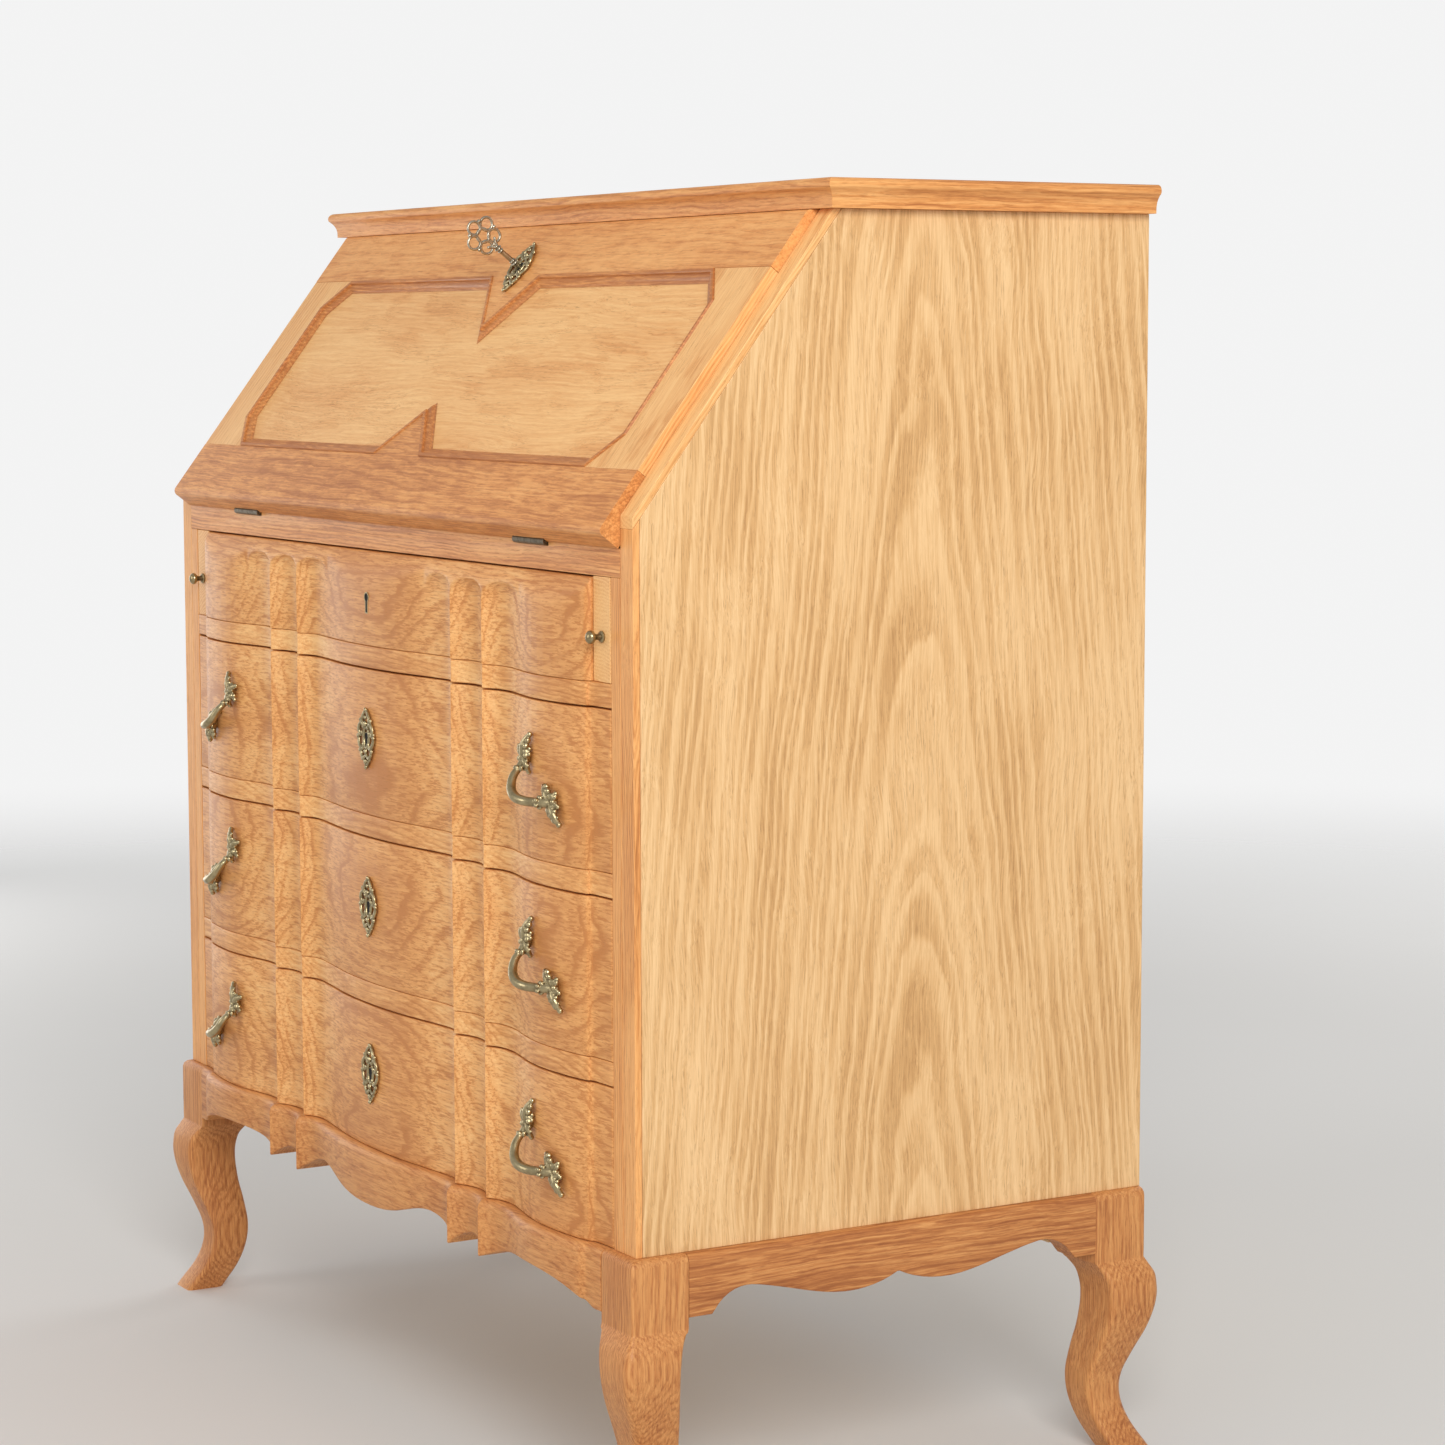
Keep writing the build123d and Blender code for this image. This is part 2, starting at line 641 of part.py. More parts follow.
with BuildPart() as lid_moulding:
    # two steps down from the frame to the field
    for inner, top in ((MOULDING_W, 2.0), (MOULDING_W / 2, PANEL_RECESS - 1.0)):
        with BuildSketch(LID_PLANE.offset(LID_T - PANEL_RECESS + JOINT)):
            field_face()
            offset(amount=-JOINT, kind=Kind.INTERSECTION, mode=Mode.REPLACE)
            offset(amount=-inner, kind=Kind.INTERSECTION, mode=Mode.SUBTRACT)
        extrude(amount=top)
save(lid_moulding.part, "lid_moulding")

with BuildPart() as lid_hinge_leaves:
    for centre_x in (-HINGE_X, HINGE_X):
        for index in range(1, KNUCKLES, 2):
            left, length = knuckle(centre_x, index)
            lid_block(left, left + length, 0, LEAF_REACH / 2, 0, LEAF_T)
        lid_block(
            centre_x - HINGE_W / 2,
            centre_x + HINGE_W / 2,
            RECESS_R + 0.2,
            LEAF_REACH,
            0,
            LEAF_T,
        )
        with BuildSketch(Plane.YZ.offset(centre_x - HINGE_W / 2)):
            with Locations((PIVOT_Y, PIVOT_Z)):
                Circle(PIN_R + PIN_CLEAR)
        extrude(amount=HINGE_W, mode=Mode.SUBTRACT)
save(lid_hinge_leaves.part, "lid_hinge_leaves")

# ---------------------------------------------------------------- lid lock, bolt and key
BIT_R = 9.5
BIT_N0 = 3.0
BIT_N1 = 8.0
BOLT_X = 9.0
BOLT_S0 = 269.0
BOLT_THROW = 8.0

with BuildPart() as lid_lock:
    lid_block(-LOCK_HALF, LOCK_HALF, LOCK_S0, LID_LEN, 0, LOCK_T)
    trim_lid_top()
    lid_block(-BOLT_X - GAP, BOLT_X + GAP, KEY_S, LID_LEN, BIT_N0 - GAP, BIT_N1 + GAP, mode=Mode.SUBTRACT)
    with BuildSketch(LID_PLANE.offset(BIT_N0 - GAP)):
        with Locations((0, KEY_S)):
            Circle(BIT_R + 1.0)
    extrude(amount=BIT_N1 - BIT_N0 + 2 * GAP, mode=Mode.SUBTRACT)
    with BuildSketch(LID_PLANE.offset(BIT_N0)):
        with Locations((0, KEY_S)):
            Circle(KEYHOLE_R)
    extrude(amount=LOCK_T, mode=Mode.SUBTRACT)
save(lid_lock.part, "lid_lock")

with BuildPart() as lid_bolt:
    lid_block(-BOLT_X, BOLT_X, BOLT_S0, LID_LEN, BIT_N0, BIT_N1)
    split(bisect_by=Plane.XY.offset(LID_TOP_Z - 0.3), keep=Keep.BOTTOM)
save(lid_bolt.part, "lid_bolt")

SHANK_R = 2.5
SHANK_OUT = 32.0  # shank beyond the lid's face
BOW_R = 17.0
BOW_HOLE_R = 11.0
BOW_T = 3.4
BOW_N = LID_T + SHANK_OUT + BOW_R - 3.0

with BuildPart() as lid_key:
    with BuildSketch(LID_PLANE.offset(BIT_N0)):
        with Locations((0, KEY_S)):
            Circle(SHANK_R)
    extrude(amount=LID_T + SHANK_OUT - BIT_N0)
    lid_block(-1.5, 1.5, KEY_S - BIT_R, KEY_S, BIT_N0, BIT_N1)
    # collar where the key stops against the escutcheon
    with BuildSketch(LID_PLANE.offset(LID_T + 8.0)):
        with Locations((0, KEY_S)):
            Circle(SHANK_R + 1.6)
    extrude(amount=3.0)
    # ring bow, standing in the plane of the shank and the slope
    with BuildSketch(Plane.YZ.offset(-BOW_T / 2)):
        bow_y = PIVOT_Y + KEY_S * cos(SLOPE) - BOW_N * sin(SLOPE)
        bow_z = PIVOT_Z + KEY_S * sin(SLOPE) + BOW_N * cos(SLOPE)
        with Locations((bow_y, bow_z)):
            Circle(BOW_R)
            Circle(BOW_HOLE_R, mode=Mode.SUBTRACT)
    extrude(amount=BOW_T)
save(lid_key.part, "lid_key")

# ---------------------------------------------------------------- escutcheons
PLATE_T = 2.5
PLATE_HALF_H = 27.0
PLATE_HALF_W = 17.0


def plate_face():
    """Shield-shaped keyhole plate, higher than wide, pointed at the top and bottom."""
    with BuildLine() as outline:
        Spline(
            (0, PLATE_HALF_H),
            (0.42 * PLATE_HALF_W, 0.62 * PLATE_HALF_H),
            (PLATE_HALF_W, 0.18 * PLATE_HALF_H),
            (0.62 * PLATE_HALF_W, -0.45 * PLATE_HALF_H),
            (0, -PLATE_HALF_H),
        )
        mirror(about=Plane.YZ)
    make_face(outline.edges())


with BuildPart() as lid_escutcheon:
    key_point = (0, PIVOT_Y + KEY_S * cos(SLOPE), PIVOT_Z + KEY_S * sin(SLOPE))
    with BuildSketch(LID_PLANE.shift_origin(key_point).offset(LID_T + JOINT)):
        plate_face()
        Circle(KEYHOLE_R + 0.5, mode=Mode.SUBTRACT)
    extrude(amount=PLATE_T)
save(lid_escutcheon.part, "lid_escutcheon")

# ---------------------------------------------------------------- lopers
LOPER_Z0 = TOP_OPENING_Z + GAP
LOPER_Z1 = RAIL_Z0 - 0.5
KNOB_Z = CASE_Z + 474.5
KNOB_R = 5.4


def loper(x0):
    """Sliding bearer for the open lid."""
    with BuildPart() as piece:
        block(x0, x0 + LOPER_W, FRONT, FRONT + LOPER_L, LOPER_Z0, LOPER_Z1)
    return piece.part


def loper_knob(centre_x):
    """Small turned knob on the end of a loper."""
    with BuildPart() as piece:
        with BuildSketch(Plane.YZ.offset(centre_x)):
            with BuildLine():
                Polyline(
                    (FRONT - JOINT, KNOB_Z),
                    (FRONT - JOINT, KNOB_Z + 4.4),
                    (FRONT - 1.6, KNOB_Z + 4.4),
                    (FRONT - 3.6, KNOB_Z + 2.3),
                    (FRONT - 7.2, KNOB_Z + 2.8),
                    (FRONT - 8.9, KNOB_Z + KNOB_R),
                )
                ThreePointArc(
                    (FRONT - 8.9, KNOB_Z + KNOB_R),
                    (FRONT - 8.9 - KNOB_R * sin(radians(45)), KNOB_Z + KNOB_R * sin(radians(45))),
                    (FRONT - 8.9 - KNOB_R, KNOB_Z),
                )
                Line((FRONT - 8.9 - KNOB_R, KNOB_Z), (FRONT - JOINT, KNOB_Z))
            make_face()
        revolve(axis=Axis((centre_x, 0, KNOB_Z), (0, 1, 0)))
    return piece.part


KNOB_X = (LOPER_X0 + LOPER_X1) / 2 + 1.0
save(loper(-LOPER_X1), "left_loper")
save(loper(LOPER_X0), "right_loper")
save(loper_knob(-KNOB_X), "left_loper_knob")
save(loper_knob(KNOB_X), "right_loper_knob")

# ---------------------------------------------------------------- drawers
LOCK_W = 60.0
LOCK_H = 44.0
DRAWER_LOCK_T = 12.0
PULL_X = 324.0
PULL_DX = 23.0
PULL_DZ = 16.5
PULL_OUT = 25.0
ROSE_R = 14.0
ROSE_T = 5.0
BAIL_R = 4.2
LOBE_OUT = 12.7
ROLL = 14.0  # how far the top drawer's carving stands out where it starts to roll back
ROLL_H = 26.0  # and how far below the top edge that is


def drawer_front(z0, height, half_x, key_z, rolled):
    """Carved drawer front with its lock pocket; the top drawer's carving rolls back to a straight edge."""
    with BuildPart() as piece:
        with BuildSketch(Plane.XY.offset(z0)):
            serpentine_face(0, FRONT + FRONT_T)
        extrude(amount=height)
        for x0 in (-CASE_W, half_x):
            block(x0, x0 + CASE_W - half_x, FRONT - 30, FRONT + 60, z0, z0 + height, mode=Mode.SUBTRACT)
        top_z = z0 + height
        if rolled:
            with BuildSketch(Plane.YZ):
                with BuildLine():
                    Polyline(
                        (FRONT - 0.5, top_z),
                        (FRONT + 40, top_z),
                        (FRONT + 40, z0),
                        (FRONT - 20, z0),
                        (FRONT - 20, top_z - ROLL_H - 2),
                        (FRONT - ROLL, top_z - ROLL_H),
                    )
                    ThreePointArc(
                        (FRONT - ROLL, top_z - ROLL_H),
                        (FRONT - 0.72 * ROLL, top_z - ROLL_H / 2),
                        (FRONT - 0.5, top_z),
                    )
                make_face()
            extrude(amount=CASE_W, both=True, mode=Mode.INTERSECT)
        block(
            -LOCK_W / 2 - JOINT,
            LOCK_W / 2 + JOINT,
            FRONT + FRONT_T - DRAWER_LOCK_T - JOINT,
            FRONT + FRONT_T,
            top_z - LOCK_H - JOINT,
            top_z,
            mode=Mode.SUBTRACT,
        )
        with BuildSketch(Plane.XZ.offset(-FRONT - 12)):
            with Locations((0, key_z)):
                Circle(KEYHOLE_R)
        extrude(amount=40, both=False, mode=Mode.SUBTRACT)
    return piece.part


def drawer_lock(top_z, key_z):
    """Closed lock, let into the back of a drawer front, with its bolt withdrawn inside."""
    with BuildPart() as piece:
        block(
            -LOCK_W / 2,
            LOCK_W / 2,
            FRONT + FRONT_T - DRAWER_LOCK_T,
            FRONT + FRONT_T,
            top_z - LOCK_H,
            top_z - JOINT,
        )
        with BuildSketch(Plane.XZ.offset(-(FRONT + FRONT_T - DRAWER_LOCK_T / 2))):
            with Locations((0, key_z)):
                Circle(KEYHOLE_R)
        extrude(amount=DRAWER_LOCK_T, mode=Mode.SUBTRACT)
    return piece.part


def drawer_box(outer_x, z0, z1, depth):
    """Sides, back and bottom of a drawer, as separate boards."""
    y0 = FRONT + FRONT_T + JOINT
    y1 = y0 + depth
    with BuildPart() as piece:
        block(-outer_x, -outer_x + BOX_SIDE_T, y0, y1, z0, z1)
        block(outer_x - BOX_SIDE_T, outer_x, y0, y1, z0, z1)
        inner = outer_x - BOX_SIDE_T - JOINT
        block(-inner, inner, y1 - BOX_SIDE_T, y1, z0 + 16, z1 - 6)
        block(-inner, inner, y0, y1, z0 + 9, z0 + 9 + BOX_BOTTOM_T)
    return piece.part


def drawer_escutcheon(key_z):
    """Keyhole plate on the middle of a drawer front."""
    face = Plane(origin=(0, FRONT - CENTRE_OUT - JOINT, key_z), x_dir=(1, 0, 0), z_dir=(0, -1, 0))
    with BuildPart() as piece:
        with BuildSketch(face):
            plate_face()
            Circle(KEYHOLE_R + 0.5, mode=Mode.SUBTRACT)
        extrude(amount=PLATE_T)
    return piece.part


def drawer_pulls(mid_z):
    """Two cast pulls: an upper inner rose and a lower outer rose joined by a bowed bail."""
    face_y = FRONT - LOBE_OUT - JOINT
    with BuildPart() as piece:
        for side_x in (-1, 1):
            upper = (side_x * (PULL_X - PULL_DX), mid_z + PULL_DZ)
            lower = (side_x * (PULL_X + PULL_DX), mid_z - PULL_DZ)
            for rose_x, rose_z in (upper, lower):
                with BuildSketch(Plane(origin=(rose_x, face_y, rose_z), x_dir=(1, 0, 0), z_dir=(0, -1, 0))):
                    Circle(ROSE_R)
                extrude(amount=ROSE_T)
            root_y = face_y - ROSE_T / 2
            bow_y = face_y - PULL_OUT + BAIL_R
            a = Vector(upper[0], root_y, upper[1])
            b = Vector(lower[0], root_y, lower[1])
            a1 = Vector(upper[0] * 0.75 + lower[0] * 0.25, bow_y, upper[1] * 0.75 + lower[1] * 0.25)
            b1 = Vector(lower[0] * 0.75 + upper[0] * 0.25, bow_y, lower[1] * 0.75 + upper[1] * 0.25)
            with BuildLine() as path:
                FilletPolyline(a, a1, b1, b, radius=9.0)
            with BuildSketch(Plane(origin=a, z_dir=a1 - a)):
                Circle(BAIL_R)
            sweep(path=path.wires()[0])
    return piece.part


BOX_X = STILE_X - DRAWER_SIDE_GAP
BOX_DEPTH = 420.0
for level, name in enumerate(("lower_drawer", "middle_drawer", "upper_drawer")):
    open_z = CASE_Z + level * PITCH
    front_z = open_z + (0.5 if level == 0 else GAP)
    front_top = open_z + DRAWER_H - DRAWER_TOP_GAP
    box_z = open_z + (BOTTOM_T + JOINT + GAP if level == 0 else GAP)
    plate_z = open_z + 67.0
    save(drawer_front(front_z, front_top - front_z, BOX_X, plate_z, False), name + "_front")
    save(drawer_lock(front_top, plate_z), name + "_lock")
    save(drawer_box(BOX_X, box_z, front_top - 4, BOX_DEPTH), name + "_box")
    save(drawer_escutcheon(plate_z), name + "_escutcheon")
    save(drawer_pulls(open_z + 65.0), name + "_pulls")

top_front_z = TOP_OPENING_Z + GAP
top_front_top = RAIL_Z0 - DRAWER_TOP_GAP
top_front_h = top_front_top - top_front_z
top_box_x = PARTITION_X0 - DRAWER_SIDE_GAP
top_key_z = CASE_Z + 481.0
save(drawer_front(top_front_z, top_front_h, TOP_FRONT_X, top_key_z, True), "top_drawer_front")
save(drawer_lock(top_front_top, top_key_z), "top_drawer_lock")
save(drawer_box(top_box_x, top_front_z, top_front_top - 4, BOX_DEPTH), "top_drawer_box")

SMALL_FRONT_T = 10.0
SMALL_SIDE_T = 6.0
SMALL_DEPTH = 148.0


def small_drawer(centre_x, half_x):
    """Small drawer under the gallery shelf, as separate boards."""
    z0 = RAIL_Z1 + GAP
    z1 = SHELF_1_Z - 0.6
    y0 = GALLERY_FRONT + SMALL_FRONT_T + JOINT
    y1 = y0 + SMALL_DEPTH
    with BuildPart() as piece:
        block(centre_x - half_x, centre_x + half_x, GALLERY_FRONT, GALLERY_FRONT + SMALL_FRONT_T, z0, z1)
        block(centre_x - half_x, centre_x - half_x + SMALL_SIDE_T, y0, y1, z0, z1 - 2)
        block(centre_x + half_x - SMALL_SIDE_T, centre_x + half_x, y0, y1, z0, z1 - 2)
        inner = half_x - SMALL_SIDE_T - JOINT
        block(centre_x - inner, centre_x + inner, y1 - SMALL_SIDE_T, y1, z0 + 8, z1 - 4)
        block(centre_x - inner, centre_x + inner, y0, y1, z0 + 3, z0 + 7)
    return piece.part


def small_knob(centre_x):
    """Turned brass knob on a small drawer."""
    knob_z = RAIL_Z1 + SMALL_DRAWER_H / 2
    with BuildPart() as piece:
        with BuildSketch(Plane.YZ.offset(centre_x)):
            with BuildLine():
                Polyline(
                    (GALLERY_FRONT - JOINT, knob_z),
                    (GALLERY_FRONT - JOINT, knob_z + 4.5),
                    (GALLERY_FRONT - 1.8, knob_z + 4.5),
                    (GALLERY_FRONT - 3.2, knob_z + 2.4),
                    (GALLERY_FRONT - 7.0, knob_z + 2.8),
                    (GALLERY_FRONT - 8.6, knob_z + KNOB_R),
                )
                ThreePointArc(
                    (GALLERY_FRONT - 8.6, knob_z + KNOB_R),
                    (GALLERY_FRONT - 8.6 - KNOB_R * sin(radians(45)), knob_z + KNOB_R * sin(radians(45))),
                    (GALLERY_FRONT - 8.6 - KNOB_R, knob_z),
                )
                Line((GALLERY_FRONT - 8.6 - KNOB_R, knob_z), (GALLERY_FRONT - JOINT, knob_z))
            make_face()
        revolve(axis=Axis((centre_x, 0, knob_z), (0, 1, 0)))
    return piece.part


SMALL_HALF = (INNER_X - BAY_X) / 2 - DRAWER_SIDE_GAP
SMALL_MID = (INNER_X + BAY_X) / 2
for side_x, side in ((-1, "left"), (1, "right")):
    save(small_drawer(side_x * SMALL_MID, SMALL_HALF), side + "_small_drawer")
    save(small_knob(side_x * SMALL_MID), side + "_small_drawer_knob")
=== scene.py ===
import json
from math import atan, cos, pi, radians, sin, sqrt

import bmesh
import bpy
import numpy as np
from mathutils import Matrix, Vector

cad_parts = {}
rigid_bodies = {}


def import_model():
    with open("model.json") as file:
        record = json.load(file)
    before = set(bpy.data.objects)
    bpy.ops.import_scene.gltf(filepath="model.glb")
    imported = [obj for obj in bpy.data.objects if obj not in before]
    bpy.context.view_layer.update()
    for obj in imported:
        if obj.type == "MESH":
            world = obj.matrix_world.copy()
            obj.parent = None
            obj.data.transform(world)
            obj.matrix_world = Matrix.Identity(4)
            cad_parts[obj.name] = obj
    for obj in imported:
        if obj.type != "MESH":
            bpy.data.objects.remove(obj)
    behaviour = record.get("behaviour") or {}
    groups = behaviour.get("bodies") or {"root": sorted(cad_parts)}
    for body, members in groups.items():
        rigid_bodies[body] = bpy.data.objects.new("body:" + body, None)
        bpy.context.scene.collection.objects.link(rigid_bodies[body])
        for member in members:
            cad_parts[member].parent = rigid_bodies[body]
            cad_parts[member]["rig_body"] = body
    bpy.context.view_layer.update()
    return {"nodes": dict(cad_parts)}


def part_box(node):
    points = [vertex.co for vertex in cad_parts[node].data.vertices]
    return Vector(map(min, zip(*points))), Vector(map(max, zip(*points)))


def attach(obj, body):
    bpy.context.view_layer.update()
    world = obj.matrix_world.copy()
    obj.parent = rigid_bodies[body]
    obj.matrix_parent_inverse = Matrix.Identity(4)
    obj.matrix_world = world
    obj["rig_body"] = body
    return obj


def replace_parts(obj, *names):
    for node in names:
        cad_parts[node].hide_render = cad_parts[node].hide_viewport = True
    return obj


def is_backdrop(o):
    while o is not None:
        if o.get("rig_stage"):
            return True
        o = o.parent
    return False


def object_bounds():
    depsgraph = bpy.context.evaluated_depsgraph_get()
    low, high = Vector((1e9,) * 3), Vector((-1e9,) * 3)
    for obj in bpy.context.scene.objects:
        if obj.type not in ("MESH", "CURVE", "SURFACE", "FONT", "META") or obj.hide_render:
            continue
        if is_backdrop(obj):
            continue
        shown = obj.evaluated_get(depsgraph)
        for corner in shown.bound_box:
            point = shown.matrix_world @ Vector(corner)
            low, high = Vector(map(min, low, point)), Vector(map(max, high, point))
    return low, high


# Slant-front oak secretary desk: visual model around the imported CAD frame.
# Shapes are worked out in millimetres in the row frame (the desk faces -Y) and made in metres.

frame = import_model()
MM = 0.001


def node_box(name):
    """Lowest and highest corner of a CAD node, in millimetres."""
    low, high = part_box(name)
    return np.array(low) / MM, np.array(high) / MM


# ---------- driving dimensions, from the frame
rail_low, rail_high = node_box("writing_rail")
panel_low, panel_high = node_box("right_side_panel")
FRONT = rail_low[1]
BACK = panel_high[1]
RAIL_Z0, RAIL_Z1 = rail_low[2], rail_high[2]
OUTER_X = panel_high[0]
CASE_Z0, CASE_Z1 = panel_low[2], panel_high[2]
DRAWER_X = node_box("lower_drawer_front")[1][0]
SLOPE = radians(52.7)
HINGE_FORWARD = 1.3
PIVOT = Vector((0, FRONT - HINGE_FORWARD, RAIL_Z1))  # the lid's hinge line
UP_SLOPE = Vector((0, cos(SLOPE), sin(SLOPE)))
OFF_LID = Vector((0, -sin(SLOPE), cos(SLOPE)))
LID_T = 22.0
BASE_PROUD = 8.0  # base frame beyond the case at the front and sides
POST_X, POST_Y = OUTER_X + BASE_PROUD, FRONT - BASE_PROUD
DRAWERS = ("lower_drawer", "middle_drawer", "upper_drawer")


def lid_point(x, s, n):
    """Point in the closed lid: x across, s up the slope from the hinge line, n out of the lid."""
    return Vector((x, 0, 0)) + PIVOT + UP_SLOPE * s + OFF_LID * n


# ---------- material graph helper
class Graph:
    """Small helper that adds shader nodes and links them in one call."""

    def __init__(self, name):
        self.material = bpy.data.materials.new(name)
        self.material.use_nodes = True
        self.nodes = self.material.node_tree.nodes
        self.links = self.material.node_tree.links
        self.shader = self.nodes["Principled BSDF"]

    def put(self, socket, value):
        if isinstance(value, bpy.types.NodeSocket):
            self.links.new(value, socket)
        else:
            socket.default_value = value

    def add(self, kind, *values, **settings):
        node = self.nodes.new("ShaderNode" + kind)
        for key, value in settings.items():
            setattr(node, key, value)
        for socket, value in zip(node.inputs, values):
            if value is not None:
                self.put(socket, value)
        return node

    def math(self, operation, a, b=None, c=None):
        return self.add("Math", a, b, c, operation=operation).outputs[0]

    def dot(self, vector, axis):
        return self.add("VectorMath", vector, axis, operation="DOT_PRODUCT").outputs["Value"]

    def combine(self, x, y, z):
        return self.add("CombineXYZ", x, y, z).outputs[0]

    def noise(self, vector, scale, detail=2.0, rough=0.5, colour=False):
        stretched = self.add("VectorMath", vector, scale, operation="MULTIPLY").outputs[0]
        node = self.add("TexNoise")
        self.put(node.inputs["Vector"], stretched)
        self.put(node.inputs["Scale"], 1.0)
        self.put(node.inputs["Detail"], detail)
        self.put(node.inputs["Roughness"], rough)
        return node.outputs["Color" if colour else "Fac"]

    def ramp(self, value, low, high, to_low=0.0, to_high=1.0, smooth=True):
        node = self.add("MapRange", value, low, high, to_low, to_high)
        node.interpolation_type = "SMOOTHSTEP" if smooth else "LINEAR"
        return node.outputs[0]

    def blend(self, factor, a, b, mode="MIX"):
        node = self.nodes.new("ShaderNodeMix")
        node.data_type = "RGBA"
        node.blend_type = mode
        self.put(node.inputs[0], factor)
        for socket, value in ((node.inputs[6], a), (node.inputs[7], b)):
            if isinstance(value, tuple):
                value = (*value, 1.0)
            self.put(socket, value)
        return node.outputs[2]

    def bump(self, height, strength, distance):
        node = self.add("Bump")
        self.put(node.inputs["Strength"], strength)
        self.put(node.inputs["Distance"], distance)
        self.put(node.inputs["Height"], height)
        self.put(self.shader.inputs["Normal"], node.outputs[0])


# ---------- oak
OAK_SPECULAR, OAK_COAT, OAK_COAT_ROUGHNESS = 0.32, 0.10, 0.30
PORE_DARKENING, PORE_ROUGHENING = 0.7, 0.25
AXES = {"x": (1, 0, 0), "y": (0, 1, 0), "z": (0, 0, 1), "s": tuple(UP_SLOPE), "n": tuple(OFF_LID)}
# pale latewood, middle and dark earlywood
PALE = ((0.86, 0.57, 0.29), (0.71, 0.42, 0.18), (0.50, 0.26, 0.095))
HONEY = ((0.93, 0.56, 0.235), (0.79, 0.385, 0.13), (0.55, 0.215, 0.06))
AMBER = ((0.88, 0.45, 0.16), (0.73, 0.31, 0.092), (0.46, 0.16, 0.043))
RED = ((0.70, 0.33, 0.112), (0.53, 0.205, 0.06), (0.32, 0.10, 0.028))
PLAIN = ((0.78, 0.57, 0.33), (0.66, 0.44, 0.225), (0.50, 0.31, 0.14))


def all_over(change):
    """Tint that darkens a whole board alike."""
    return ((-1.0, 0.0, change),)


